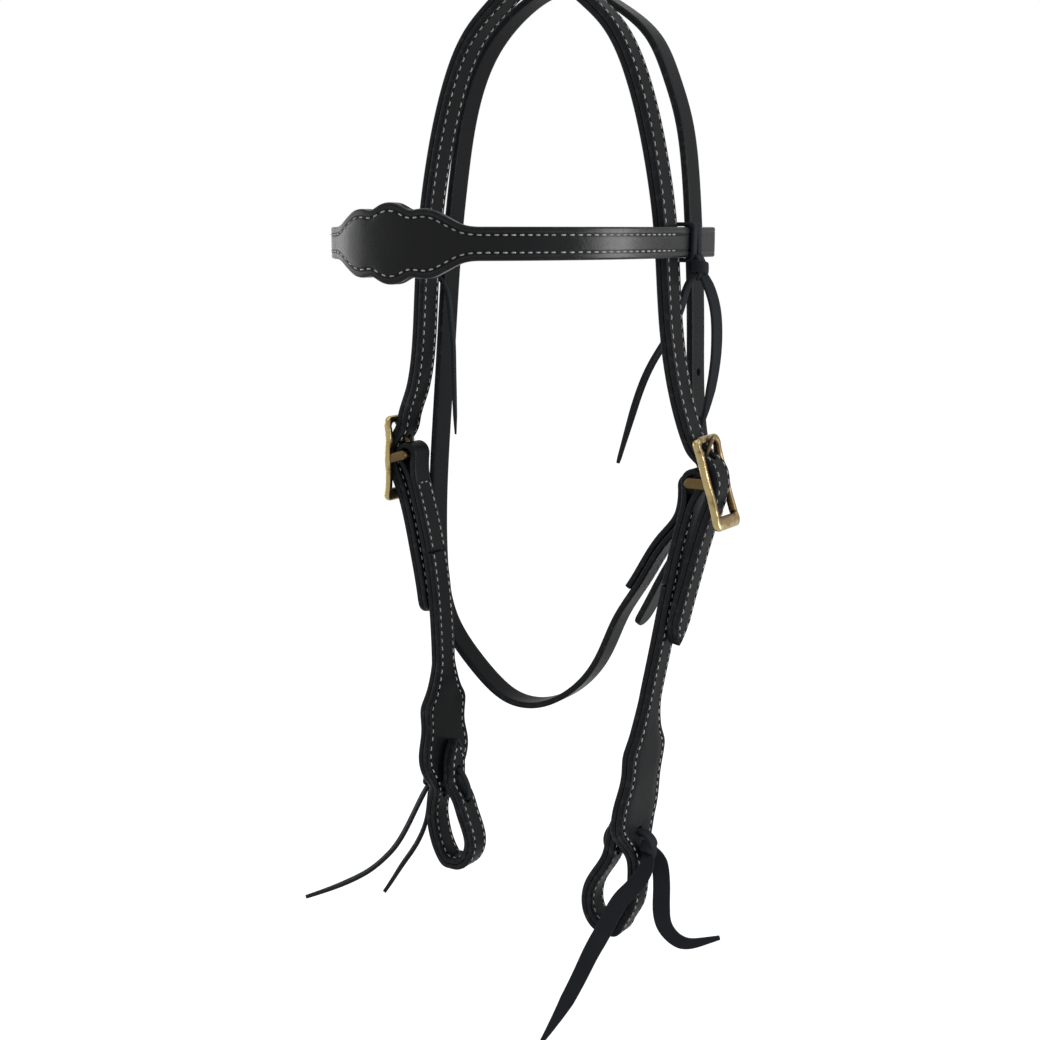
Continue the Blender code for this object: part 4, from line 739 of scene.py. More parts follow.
def circle(radius):
    """Points round a circle."""
    turns = full_turn(CIRCLE_STATIONS)
    return np.stack((radius * np.cos(turns), radius * np.sin(turns)), axis=1)


def stadium(length, width):
    """A slot's outline: two half circles a slot's length apart."""
    radius = width / 2
    reach = max(length / 2 - radius, 0.0)
    turns = np.linspace(-math.pi / 2, math.pi / 2, HALF_STATIONS + 1)
    half = np.stack((reach + radius * np.cos(turns), radius * np.sin(turns)), axis=1)
    return np.concatenate((half, -half))


def punch(piece, cutters, mirrored):
    """Cut holes through a piece, and keep the result as its mesh."""
    tools = []
    for cutter in cutters:
        tool = bpy.data.objects.new(piece.name + "_punch", make_mesh("punch", [cutter], mirrored))
        bpy.context.scene.collection.objects.link(tool)
        modifier = piece.modifiers.new("hole", "BOOLEAN")
        modifier.operation = "DIFFERENCE"
        modifier.solver = "EXACT"
        modifier.object = tool
        tools.append(tool)
    graph = bpy.context.evaluated_depsgraph_get()
    result = bpy.data.meshes.new_from_object(piece.evaluated_get(graph))
    piece.modifiers.clear()
    piece.data = result
    for tool in tools:
        bpy.data.objects.remove(tool)


def bell(values, centre, width):
    """A bell curve of height one."""
    return np.exp(-(((values - centre) / width) ** 2))


def rounded(rim, radius):
    """How far the face has dropped at a distance in from its edge, where the edge is a quarter round."""
    inside = np.clip(radius - rim, 0, radius)
    return radius - np.sqrt(radius**2 - inside**2)


def ply(line, half, thick, side=Y_AXIS, flip=False, sewn=1.0, inset=None, panel=None, lined=0.0,
        back_round=SEAM_ROUND):
    """Skin of one ply. Across its grain face the height is half the thickness, less a quarter round at the
    edge, less a pressed crease and a stitch groove that are bell curves of the distance from the edge, plus
    a slight swell over the middle, inside a pressed line where there is one. The flesh face is flat with its
    own edge round."""
    half = np.broadcast_to(half, len(line))[:, None]
    inset = np.full(len(line), ROW_INSET) if inset is None else inset
    scale = (inset / ROW_INSET)[:, None]
    sewn = np.broadcast_to(sewn, len(line))[:, None]
    panel = np.zeros(len(line))[:, None] if panel is None else panel[:, None]
    spots = np.array(SPOTS)[None] * scale
    spots = spots * np.minimum(1, half / (spots[:, -1:] * LEAST_MIDDLE))
    middle = spots[:, -1:] + (half - spots[:, -1:]) * np.array(MIDDLE_SHARES)[None]
    rim = np.concatenate((spots, middle), axis=1)
    crease = bell(rim / scale, CREASE_INSET, CREASE_WIDTH)
    pressed = bell(rim / scale, LINE_INSET, LINE_WIDTH) * lined * panel
    groove = bell(rim / scale, ROW_INSET, GROOVE_WIDTH) * sewn
    swell = panel * PANEL_RISE * np.clip((rim / scale - ROW_INSET) / ROW_INSET, 0, 1)
    rise = thick / 2 - rounded(rim, EDGE_ROUND) - crease * CREASE_DEPTH - groove * GROOVE_DEPTH
    rise = rise - pressed * LINE_DEPTH + swell
    back = np.array(BACK_SPOTS)[None] * np.minimum(1, half / (BACK_SPOTS[-1] * LEAST_MIDDLE))
    back = np.concatenate((back, half), axis=1)
    sink = -thick / 2 + rounded(back, back_round)

    def both(values, sign):
        return np.concatenate((values, sign * values[:, -2::-1]), axis=1)

    across = np.concatenate((both(rim - half, -1), -both(back - half, -1)), axis=1)
    up = np.concatenate((both(rise, 1), both(sink, 1)), axis=1)
    normal = outward(line, side) * (-1 if flip else 1)
    rings = line[:, None] + side * across[..., None] + normal[:, None] * up[..., None]
    rims = np.concatenate((both(rim, 1), both(back, 1)), axis=1)
    grooves = np.concatenate((both(groove, 1), both(back * 0, 1)), axis=1)
    creases = np.concatenate((both(np.maximum(crease, pressed), 1), both(back * 0, 1)), axis=1)
    return shell(rings, rim=rims, groove=grooves, crease=creases)


def row(line, half, thick, sign, span=None, side=Y_AXIS, flip=False, inset=None, clear=ROW_END):
    """Line of a stitch row: in from the edge by the inset, measured square to the edge, on the grain face, as
    far as it stays clear of the middle. Gives the points and the way up from the leather at each."""
    inset = np.full(len(line), ROW_INSET) if inset is None else inset
    marks = ruler(line)
    lean = np.gradient(half, marks)
    across = half - inset * np.sqrt(1 + lean**2)
    kept = across > clear
    if span:
        kept = kept & (marks >= span[0]) & (marks <= span[1])
    up = outward(line, side) * (-1 if flip else 1)
    places = line + up * (thick / 2 - GROOVE_DEPTH) + side * (sign * across)[:, None]
    return places[kept], up[kept]


def edge_rows(line, half, thick, span=None, **settings):
    """The stitch rows along both edges of a ply."""
    return [row(line, half, thick, sign, span, **settings) for sign in (1, -1)]


def stitches(rows, pitch, width):
    """Skins of the stitches along rows. Each stitch is a slim spindle laid from one hole to the next: its
    width swells and its height rises by the tables along it."""
    starts = []
    ends = []
    ups = []
    for places, up in rows:
        marks = ruler(places)
        count = max(1, round(marks[-1] / pitch))
        own = marks[-1] / count
        begin = (np.arange(count) + (1 - STITCH_FILL) / 2) * own
        starts.append(at(places, begin))
        ends.append(at(places, begin + own * STITCH_FILL))
        ups.append(between(begin, marks, up))
    start = np.concatenate(starts)
    end = np.concatenate(ends)
    up = unit(np.concatenate(ups))
    across = unit(np.cross(end - start, up))
    turns = full_turn(STITCH_SIDES)
    share = np.array(STITCH_SHARES)[None, :, None, None]
    swell = np.array(STITCH_SWELLS)[None, :, None, None] * width / 2
    rise = np.array(STITCH_RISES)[None, :, None, None] * width
    centre = start[:, None, None] + (end - start)[:, None, None] * share + up[:, None, None] * rise
    wide = np.cos(turns)[None, None, :, None] * across[:, None, None]
    high = np.sin(turns)[None, None, :, None] * up[:, None, None]
    rings = centre + swell * (wide + high)
    length = np.linalg.norm(end - start, axis=1)[:, None, None]
    run = share[..., 0] * length
    dip = np.abs(2 * share[..., 0] - 1) ** 3
    return shell(rings, run=run, turn=turns[None, None], dip=dip)


def untwisted(line, way):
    """Width directions of a lace that starts with its width in the given way and doesn't twist: each is the
    one before it, less its part along the lace's heading."""
    tangents = headings(line)
    ways = [np.array(way, float)]
    for tangent in tangents:
        ways.append(unit(ways[-1] - tangent * np.dot(ways[-1], tangent)))
    return np.array(ways[1:])


def ribbon(line, widths, ways, closed=False, cup=0.0):
    """Skin of a lace: a nearly square superellipse, its width along the way given at each point, cupped by
    the square of the distance from its middle."""
    if closed:
        tangent = unit(np.roll(line, -1, axis=0) - np.roll(line, 1, axis=0))
    else:
        tangent = headings(line)
    ways = np.broadcast_to(ways, line.shape)
    side = unit(ways - tangent * (ways * tangent).sum(axis=1, keepdims=True))
    normal = np.cross(tangent, side)
    wide, high = squarish(LACE_SIDES, LACE_SQUARENESS)
    half = np.broadcast_to(widths, len(line))[:, None] / 2
    across = half * wide[None]
    up = np.minimum(LACE / 2, half) * high[None] + cup * half * wide[None] ** 2
    rings = line[:, None] + side[:, None] * across[..., None] + normal[:, None] * up[..., None]
    return shell(rings, closed=closed, rim=half - np.abs(across))


def bar_skin(points, out_sizes, up_sizes, out, up, power=METAL_SQUARENESS, sides=METAL_SIDES):
    """Skin of cast metal: superellipse sections in the two directions given, one at each point."""
    first, second = squarish(sides, power)
    across = out_sizes[:, None, None] * first[None, :, None] * out
    along = up_sizes[:, None, None] * second[None, :, None] * up
    return shell(points[:, None] + across + along)


# Buckles and straps, as in the solids


class Buckle:
    """A cart buckle in its own plane. Out leads away from the horse, up along its rails."""

    def __init__(self, place, tilt, sizes, bar_radius, bar_rise, rise, sag, thick, billet, lean):
        self.out = np.array((math.cos(tilt), 0.0, math.sin(tilt)))
        self.up = np.array((-math.sin(tilt), 0.0, math.cos(tilt)))
        self.centre = np.array(place)
        self.height, self.plate, self.wire = sizes
        self.bar_radius, self.bar_rise, self.rise, self.sag = bar_radius, bar_rise, rise, sag
        self.thick, self.billet = thick, billet
        self.eye_radius = bar_radius + GAP + TONGUE_EYE_WALL
        self.fold_radius = self.eye_radius + GAP + thick / 2
        self.drop = self.fold_radius + thick / 2 + GAP + BILLET_ROOM + billet / 2 - rise
        self.bar = self.point(-self.drop, bar_rise)
        self.behind = self.wire / 2 + GAP + billet / 2
        self.half_room = STRAP_WIDTH / 2 + BUCKLE_SIDE_ROOM
        self.down = np.array((-math.sin(lean), 0.0, -math.cos(lean)))
        rest_out = self.wire / 2 + self.drop
        rest_up = self.height / 2 - self.wire + WIRE_ROUND - bar_rise
        reach = math.hypot(rest_out, rest_up)
        lift = math.asin((TONGUE_THICKNESS / 2 + GAP) / reach)
        self.tongue_angle = math.atan2(rest_out, rest_up) + lift
        self.tongue_length = reach + self.wire / 2 + TONGUE_OVERHANG

    def point(self, out, up, along=0.0):
        """A place given in the buckle's plane."""
        return self.centre + self.out * out + self.up * up + Y_AXIS * along

    def tongue_way(self):
        """Direction of the tongue from the bar."""
        return self.out * math.sin(self.tongue_angle) + self.up * math.cos(self.tongue_angle)

    def billet_knots(self):
        """The billet crosses behind the top bar, over the fold and inside the bottom plate."""
        half = self.height / 2
        upper, lower = BILLET_CROSSING_SHARES
        return [
            self.point(-self.behind - BILLET_CROSSING, half - self.wire * upper),
            self.point(-self.behind - GAP, half - self.wire * lower),
            self.point(self.rise, self.bar_rise + BILLET_CREST),
            self.point(self.rise, self.bar_rise - BILLET_LEE),
            self.point(-self.behind - self.sag, -half + self.plate),
        ]

    def fold(self):
        """The ply's fold round the bar, from the inner leg over the top to the outer: an arc, two curves."""
        away = np.cross(self.down, Y_AXIS)
        spread = (self.thick + GAP) / 2
        count = math.ceil((math.pi + 2 * FOLD_WRAP) / FOLD_TURN)
        turns = np.linspace(math.pi + FOLD_WRAP, -FOLD_WRAP, count + 1)[:, None]
        wrap = self.bar + (away * np.cos(turns) - self.down * np.sin(turns)) * self.fold_radius
        join = self.bar + self.down * FOLD_JOIN
        leave = away * -math.sin(FOLD_WRAP) + self.down * math.cos(FOLD_WRAP)
        outer = spline((wrap[-1], join + away * spread), leave, self.down)
        arrive = away * -math.sin(FOLD_WRAP) - self.down * math.cos(FOLD_WRAP)
        inner = spline((join - away * spread, wrap[0]), -self.down, arrive)
        return np.concatenate((inner[1:-1], wrap, outer[1:-1]))

    def join_point(self):
        """Where the outer leg of the fold becomes the strap."""
        away = np.cross(self.down, Y_AXIS)
        return self.bar + self.down * FOLD_JOIN + away * (self.thick + GAP) / 2


NEAR_BUCKLE = Buckle(NEAR_BUCKLE_PLACE, NEAR_BUCKLE_TILT, CHEEK_BUCKLE_SIZES, CHEEK_BAR_RADIUS,
                     CHEEK_BAR_RISE, CHEEK_BILLET_RISE, NEAR_BILLET_SAG, PLY, STACK, CHEEK_LEAN)
OFF_BUCKLE = Buckle(OFF_BUCKLE_PLACE, OFF_BUCKLE_TILT, CHEEK_BUCKLE_SIZES, CHEEK_BAR_RADIUS,
                    CHEEK_BAR_RISE, CHEEK_BILLET_RISE, OFF_BILLET_SAG, PLY, STACK, CHEEK_LEAN)
THROAT_BUCKLE = Buckle(THROAT_BUCKLE_PLACE, THROAT_BUCKLE_TILT, THROAT_BUCKLE_SIZES, THROAT_BAR_RADIUS,
                       0.0, THROAT_BILLET_RISE, 0.0, THROAT_PLY, THROAT_PLY, THROAT_LEAN)


def tail_knots(start, length, inset, shares):
    """A billet's tail, hanging inwards from inside the buckle's bottom plate."""
    return [start + np.array((-inset * across, CROWN_SHIFT * back, -length * down))
            for across, back, down in shares]


def crown_half(mirrored):
    """Middle of the crown's two plies, from the poll to the end of one billet."""
    buckle = OFF_BUCKLE if mirrored else NEAR_BUCKLE
    end = OFF_CROWN_END_SHARES if mirrored else NEAR_CROWN_END_SHARES
    top = STACK / 2
    knots = [np.array((POLL_FLAT / 2, 0, top))]
    for across, back, down in (*CROWN_SHARES, end):
        knots.append(np.array((across * CROWN_SPREAD, back * CROWN_SHIFT, top - down * CROWN_DROP)))
    knots += buckle.billet_knots()
    length = TAIL_LENGTH * (OFF_TAIL_SHARE if mirrored else 1)
    knots += tail_knots(knots[-1], length, TAIL_INSET, TAIL_SHARES)
    return spline(knots, first=(1, 0, -POLL_SLOPE))


def cheek_point(inset, down, back):
    """A place on the cheek, by its shares of inset and drop from the cheek's top."""
    return np.array((CHEEK_TOP[0] - inset * CHEEK_INSET, back, CHEEK_TOP[2] - down * CHEEK_DROP))


def cheek_line(buckle):
    """Middle of the cheek's two plies from below the buckle to the loop's neck."""
    join = buckle.join_point() - np.cross(buckle.down, Y_AXIS) * LAYER
    knots = [join] + [cheek_point(inset, down, back * CHEEK_SHIFT) for inset, back, down in CHEEK_SHARES]
    return spline(knots, first=buckle.down)


def loop_lines(main, mirrored):
    """Bit loop: on from the neck, round the bit and back up beside the main leg."""
    descent_shares = OFF_DESCENT_SHARES if mirrored else NEAR_DESCENT_SHARES
    ascent_shares = OFF_ASCENT_SHARES if mirrored else NEAR_ASCENT_SHARES
    bottom = OFF_BOTTOM_SHARES if mirrored else NEAR_BOTTOM_SHARES
    tip_height = cheek_point(0, OFF_TIP_SHARE if mirrored else NEAR_TIP_SHARE, 0)[2]
    neck = main[-1]
    flat = cheek_point(*bottom, -LOOP_SET_BACK)
    half_flat = X_AXIS * LOOP_FLAT / 2

    def knots(shares):
        places = [cheek_point(inset, down, 0) for inset, down in shares]
        for place in places:
            way = (neck[2] - place[2]) / (neck[2] - flat[2])
            place[1] = neck[1] + (flat[1] - neck[1]) * min(max(way, 0), 1)
        return places

    start = main[-1] - main[-2]
    descent = spline([neck] + knots(descent_shares) + [flat + half_flat], start, -X_AXIS)
    flush = layer(main, -2 * (PLY + GAP) - PLY_FLUSH)
    back = flush[flush[:, 2] < tip_height][::-1]
    ascent = spline([flat - half_flat] + knots(ascent_shares) + [back[0]], -X_AXIS, back[1] - back[0])
    return descent, ascent, back


def throat_line():
    """The throatlatch's own ply: from below its buckle, under the throat, over the poll, to its tail."""
    knots = [THROAT_BUCKLE.join_point()]
    for across, back, down in THROAT_SHARES:
        height = THROAT_PLY / 2 - down * THROAT_DROP
        knots.append(np.array((across * THROAT_SPREAD, back * THROAT_SHIFT, height)))
    knots += THROAT_BUCKLE.billet_knots()
    knots += tail_knots(knots[-1], THROAT_TAIL_LENGTH, THROAT_TAIL_INSET, THROAT_TAIL_SHARES)
    return spline(knots, first=THROAT_BUCKLE.down)


def crown_inner_face():
    """Inner face of the crown strap at the browband."""
    half = crown_half(False)
    return at_height(layer(half, -STACK / 2)[half[:, 2] > -CROWN_DROP], -BROW_DOWN)[0]


def throat_place(sign):
    """Inner face and back edge of the throatlatch at the browband, on one side."""
    line = throat_line()
    legs = line[(line[:, 0] * sign > 0) & (line[:, 2] > -THROAT_DROP / 2)]
    place = at_height(legs, -BROW_DOWN)
    return place[0] * sign - THROAT_PLY / 2, place[1] + STRAP_WIDTH / 2


def tongue_crossing(line, buckle):
    """Where the tongue's line passes through the billet, with the billet's direction there."""
    way = buckle.tongue_way()
    heights = (line - buckle.bar) @ np.cross(way, Y_AXIS)
    reach = (line - buckle.bar) @ way
    found = np.nonzero((heights[:-1] * heights[1:] <= 0) & (reach[:-1] > 0))[0][0]
    share = heights[found] / (heights[found] - heights[found + 1])
    return line[found] + share * (line[found + 1] - line[found]), unit(line[found + 1] - line[found])


def billet_hole(line, buckle):
    """Cutter for the hole in the billet through which the tongue passes, square to the billet."""
    place, along = tongue_crossing(line, buckle)
    place = np.array((place[0], buckle.centre[1], place[2]))
    along = unit(along * (1, 0, 1))
    angle = math.acos(abs(np.dot(along, buckle.tongue_way())))
    swing = np.linalg.norm(place - buckle.bar) * math.tan(TONGUE_SWING) / math.sin(angle)
    length = buckle.billet / math.tan(angle) + TONGUE_THICKNESS / math.sin(angle) + 2 * HOLE_ROOM + swing
    outline = stadium(length, TONGUE_WIDTH + 2 * HOLE_ROOM)
    reach = buckle.billet / 2 + TONGUE_EYE_WALL
    return prism(outline, place + along * swing / 2, along, Y_AXIS, np.cross(along, Y_AXIS), reach)


def chape_slot(buckle, swing_in):
    """Cutter for the slot through which the tongue leaves the fold: a wedge about the bar."""
    half_angle = math.asin(TONGUE_THICKNESS / 2 / buckle.eye_radius)
    room = SLOT_ROOM / buckle.eye_radius
    first = buckle.tongue_angle - half_angle - room
    last = buckle.tongue_angle + half_angle + TONGUE_SWING + swing_in + room
    radius = buckle.fold_radius + buckle.thick
    turns = np.linspace(first, last, SLOT_STATIONS)
    arc = np.stack((radius * np.sin(turns), radius * np.cos(turns)), axis=1)
    outline = np.concatenate((((0.0, 0.0),), arc))
    return prism(outline, buckle.bar, buckle.out, buckle.up, Y_AXIS, TONGUE_WIDTH / 2 + SLOT_ROOM)


# Finishes


class Nodes:
    """Writes the nodes of one tree."""

    def __init__(self, tree):
        self.tree = tree

    def node(self, kind, inputs=(), **settings):
        """A node of the kind, with its settings, and its inputs linked or set."""
        made = self.tree.nodes.new("ShaderNode" + kind)
        for key, value in settings.items():
            setattr(made, key, value)
        for key, value in dict(inputs).items():
            self.feed(made.inputs[key], value)
        return made

    def feed(self, socket, value):
        """Link a socket, or set it."""
        if isinstance(value, bpy.types.NodeSocket):
            self.tree.links.new(value, socket)
        else:
            socket.default_value = value

    def sum(self, operation, *values):
        """One step of arithmetic."""
        return self.node("Math", dict(enumerate(values)), operation=operation).outputs[0]

    def seen(self):
        """One where the camera or a reflection looks at the surface."""
        rays = self.node("LightPath").outputs
        return self.sum("MAXIMUM", rays["Is Camera Ray"], rays["Is Glossy Ray"])


class Finish(Nodes):
    """Writes the nodes of one piece's material."""

    def __init__(self, name):
        self.material = bpy.data.materials.new(name)
        self.material.use_nodes = True
        super().__init__(self.material.node_tree)
        self.shader = self.tree.nodes["Principled BSDF"]

    def mix(self, share, first, second):
        """A colour between two others."""
        made = self.node("Mix", {0: share, 6: first, 7: second}, data_type="RGBA")
        return made.outputs[2]

    def band(self, value, low, high, start=0.0, end=1.0):
        """A smooth step from start to end as the value goes from low to high."""
        inputs = {"Value": value, "From Min": low, "From Max": high, "To Min": start, "To Max": end}
        return self.node("MapRange", inputs, interpolation_type="SMOOTHSTEP").outputs[0]

    def layer(self, name):
        """A value that the mesh carries at its points."""
        return self.node("Attribute", attribute_name=name).outputs["Fac"]

    def noise(self, place, scale, detail=3.0, roughness=0.5):
        """Clouds of the given fineness."""
        inputs = {"Vector": place, "Scale": scale, "Detail": detail, "Roughness": roughness}
        return self.node("TexNoise", inputs).outputs[0]

    def place(self):
        """Where the point is on the object, in metres."""
        return self.node("TexCoord").outputs["Object"]

    def bump(self, height, depth, strength):
        """Relief for the shader's normal."""
        inputs = {"Height": height, "Distance": depth, "Strength": strength}
        self.feed(self.shader.inputs["Normal"], self.node("Bump", inputs).outputs[0])

    def set(self, **values):
        """Values or links for the shader's own sockets, by their names with underscores for spaces."""
        for key, value in values.items():
            self.feed(self.shader.inputs[key.replace("_", " ")], value)


def tone(colour, share):
    """A colour times a share, with full alpha."""
    return (*(channel * share for channel in colour[:3]), 1.0)


def bridle_leather(name, look, gloss=1.0, smooth=0.0):
    """Smooth black bridle leather: fine pebbled grain, cloudy dye and polish, waxed edges that shine and are
    paler partly as a painted highlight, a dusted crease that is partly a painted highlight line, painted
    shade in the stitch groove, and rubbed places along the edges that are partly painted highlight."""
    finish = Finish(name)
    place = finish.place()
    rim = finish.layer("rim")
    pebble = finish.node("TexVoronoi", {"Vector": place, "Scale": look.grain_scale}).outputs["Distance"]
    pores = finish.noise(place, look.grain_scale * PORES_SHARE, PORES_DETAIL)
    cloud = finish.noise(place, *DYE_CLOUD)
    streak = finish.noise(place, *POLISH_STREAK)
    face = finish.band(rim, *FACE_BAND)
    # Rubbed places along the edges, partly painted highlight lines along them
    worn_and_highlight = finish.sum("MULTIPLY", finish.band(finish.noise(place, *RUB_AND_HIGHLIGHT_CLOUD), *WORN_AND_HIGHLIGHT_CLOUD),
                      finish.band(rim, *WORN_AND_HIGHLIGHT_BAND, 1.0, 0.0))
    dark, light = DYE_TONES
    colour = finish.mix(cloud, tone(look.colour, dark), tone(look.colour, light))
    # The waxed edge is paler: partly its own tone, partly a painted highlight along the strap's edge
    pale_edge_and_highlight = finish.band(rim, *PALE_BAND, PALE_EDGE_AND_HIGHLIGHT_SHARE, 0.0)
    colour = finish.mix(pale_edge_and_highlight, colour, tone(look.colour, EDGE_TONE))
    colour = finish.mix(finish.sum("MULTIPLY", worn_and_highlight, look.wear_and_highlight), colour, tone(look.colour, WORN_AND_HIGHLIGHT_TONE))
    # The dusted crease, partly a painted highlight line along it
    dust_and_highlight = finish.sum("MULTIPLY", finish.layer("crease"), finish.band(cloud, *DUST_AND_HIGHLIGHT_CLOUD, *DUST_AND_HIGHLIGHT_SHARES))
    colour = finish.mix(dust_and_highlight, colour, tone(look.colour, WORN_AND_HIGHLIGHT_TONE))
    # Painted shade in the stitch groove; the groove is also rougher
    furrow = finish.band(finish.layer("groove"), *FURROW_BAND)
    colour = finish.mix(finish.sum("MULTIPLY", furrow, FURROW_SHADE_SHARE), colour, tone(look.colour, GROOVE_SHADE_TONE))
    even_rough = look.roughness - smooth
    patches = [even_rough + change for change in CLOUD_ROUGHNESS]
    rough = finish.sum("ADD", finish.band(cloud, *CLOUD_BAND, *patches),
                       finish.band(streak, *STREAK_BAND, *STREAK_ROUGHNESS))
    rough = finish.sum("ADD", rough, finish.band(rim, *SHINE_BAND, SHINE_ROUGHNESS, 0.0))
    rough = finish.sum("MULTIPLY_ADD", furrow, FURROW_ROUGHNESS, rough)
    relief = finish.sum("MULTIPLY_ADD", pores, PORES_RELIEF, finish.sum("MULTIPLY", pebble, PEBBLE_RELIEF))
    relief = finish.sum("MULTIPLY", relief, finish.band(face, 0.0, 1.0, EDGE_RELIEF, 1.0))
    finish.bump(relief, look.grain_depth, GRAIN_STRENGTH)
    finish.set(Base_Color=colour, Roughness=rough)
    finish.set(Specular_IOR_Level=look.polish * gloss)
    finish.set(Coat_Weight=look.wax * gloss)
    finish.set(Coat_Roughness=WAX_ROUGHNESS)
    return finish.material


def lace_leather(name, look):
    """Oiled lace leather: matt and slate black, long fibres along the cut edges, and soft creases."""
    finish = Finish(name)
    place = finish.place()
    rim = finish.layer("rim")
    cloud = finish.noise(place, *LACE_CLOUD)
    fibre = finish.noise(place, *LACE_FIBRE)
    crease = finish.noise(place, *LACE_CREASE)
    edge = finish.band(rim, *PALE_BAND, 1.0, 0.0)
    dark, light = LACE_TONES
    colour = finish.mix(cloud, tone(look.lace_colour, dark), tone(look.lace_colour, light))
    frayed = finish.sum("MULTIPLY", edge, finish.band(fibre, *FIBRE_BAND, 0.0, FIBRE_SHARE))
    colour = finish.mix(frayed, colour, tone(look.lace_colour, EDGE_TONE))
    relief = finish.sum("MULTIPLY_ADD", crease, CREASE_RELIEF, finish.sum("MULTIPLY", fibre, FIBRE_RELIEF))
    finish.bump(relief, look.grain_depth * LACE_RELIEF_SHARE, GRAIN_STRENGTH)
    finish.set(Base_Color=colour, Roughness=finish.band(cloud, *CLOUD_BAND, *LACE_ROUGHNESS))
    finish.set(Specular_IOR_Level=look.polish)
    return finish.material


def waxed_thread(name, look):
    """Waxed linen thread: two twisted strands with painted shade between them, random grime, and painted
    shade where it dives into its holes.
    """
    finish = Finish(name)
    place = finish.place()
    phase = finish.sum("MULTIPLY_ADD", finish.layer("run"), 2 * math.pi / look.twist, finish.layer("turn"))
    strand = finish.sum("ABSOLUTE", finish.sum("SINE", phase))
    cloud = finish.noise(place, *THREAD_CLOUD)
    grime = finish.band(finish.noise(place, *THREAD_GRIME), *GRIME_BAND, 0.0, GRIME_SHARE)
    # Painted shade where the thread dives into its holes
    hole = finish.sum("MULTIPLY", finish.layer("dip"), HOLE_SHADE_SHARE)
    # Painted shade between the two strands
    strand_shade = finish.band(strand, *STRAND_SHADE_BAND, STRAND_SHADE_SHARE, 0.0)
    dark, light = THREAD_TONES
    colour = finish.mix(cloud, tone(look.colour, dark), tone(look.colour, light))
    grime_and_shade = tone(look.colour, THREAD_GRIME_AND_SHADE_TONE)
    colour = finish.mix(grime, colour, grime_and_shade)
    colour = finish.mix(hole, colour, tone(look.colour, THREAD_HOLE_SHADE_TONE))
    colour = finish.mix(strand_shade, colour, grime_and_shade)
    finish.bump(strand, look.thickness * STRAND_DEPTH, STRAND_STRENGTH)
    finish.set(Base_Color=colour, Roughness=finish.band(cloud, *CLOUD_BAND, *THREAD_ROUGHNESS))
    finish.set(Sheen_Weight=THREAD_SHEEN)
    return finish.material


def antiqued_brass(name, look):
    """Cast brass under an antique finish: bright where hands and straps have rubbed it and, as a painted
    highlight, on the outer edge face, brown in the quiet places, with fine pits and scratches."""
    finish = Finish(name)
    place = finish.place()
    cloud = finish.noise(place, *BRASS_CLOUD)
    spots = finish.noise(place, *BRASS_SPOTS)
    pits = finish.node("TexVoronoi", {"Vector": place, "Scale": BRASS_PITS}).outputs["Distance"]
    drawn_out = finish.node("Mapping", {"Vector": place, "Scale": BRASS_SCRATCHES}).outputs[0]
    scratch = finish.noise(drawn_out, *SCRATCH_CLOUD)
    # Bright brass on the outer edge face: partly rubbed through, partly a painted highlight; the inner sides
    # keep the brown
    quiet = finish.sum("MULTIPLY_ADD", finish.layer("rub"), *RUB_AND_HIGHLIGHT_SHARES)
    mottle = finish.sum("MULTIPLY_ADD", spots, SPOTS_SHARE, finish.sum("MULTIPLY", cloud, CLOUDS_SHARE))
    patina = finish.band(finish.sum("ADD", mottle, quiet), *PATINA_BAND, 0.0, look.patina)
    colour = finish.mix(patina, look.bright[:] + (1.0,), look.brown[:] + (1.0,))
    rough = finish.sum("ADD", finish.band(patina, 0.0, 1.0, *BRASS_ROUGHNESS),
                       finish.band(scratch, *SCRATCH_BAND, *SCRATCH_ROUGHNESS))
    relief = finish.sum("MULTIPLY_ADD", cloud, 1.0, finish.sum("MULTIPLY", pits, PITS_RELIEF))
    finish.bump(relief, BRASS_DEPTH, BRASS_STRENGTH)
    finish.set(Base_Color=colour, Roughness=rough)
    finish.set(Metallic=1.0)
    return finish.material


# What a user would change


def colour_setting(name, description, default):
    """A colour that the user may change."""
    return bpy.props.FloatVectorProperty(
        name=name, description=description, default=default, subtype="COLOR", size=3, min=0.0, max=1.0)


def number_setting(name, description, default, low, high, **settings):
    """A number that the user may change, between two limits."""
    return bpy.props.FloatProperty(
        name=name, description=description, default=default, min=low, max=high, **settings)


def share_setting(name, description, default, low=0.0):
    """A share, up to the whole."""
    return number_setting(name, description, default, low, 1.0, subtype="FACTOR")


def power_setting(name, description, default):
    """The power of a lamp."""
    return number_setting(name, description, default, 0.0, MOST_POWER, unit="POWER")


class HEADSTALL_PG_leather(bpy.types.PropertyGroup):
    """Leather and laces."""

    colour: colour_setting("Leather colour", "Dye of the straps", (0.0052, 0.0056, 0.0062))
    lace_colour: colour_setting("Lace colour", "Dye of the laces", (0.0140, 0.0158, 0.0182))
    roughness: share_setting("Roughness", "Roughness of the polished grain", 0.36, low=0.05)
    polish: share_setting("Polish", "Strength of the leather's own reflection", 0.022)
    wax: share_setting("Wax", "Thin wax coat on the straps", 0.03)
    # Rubbed places along the edges, partly painted highlight lines
    wear_and_highlight: share_setting("Wear", "Rubbed places along the edges", 0.45)
    grain_scale: number_setting("Grain fineness", "Pebbles of the grain to the metre", 1250.0, 100.0, 5000.0)
    grain_depth: number_setting("Grain depth", "Depth of the grain's relief", 0.00011, 0.0, 0.001,
                                unit="LENGTH", precision=5)


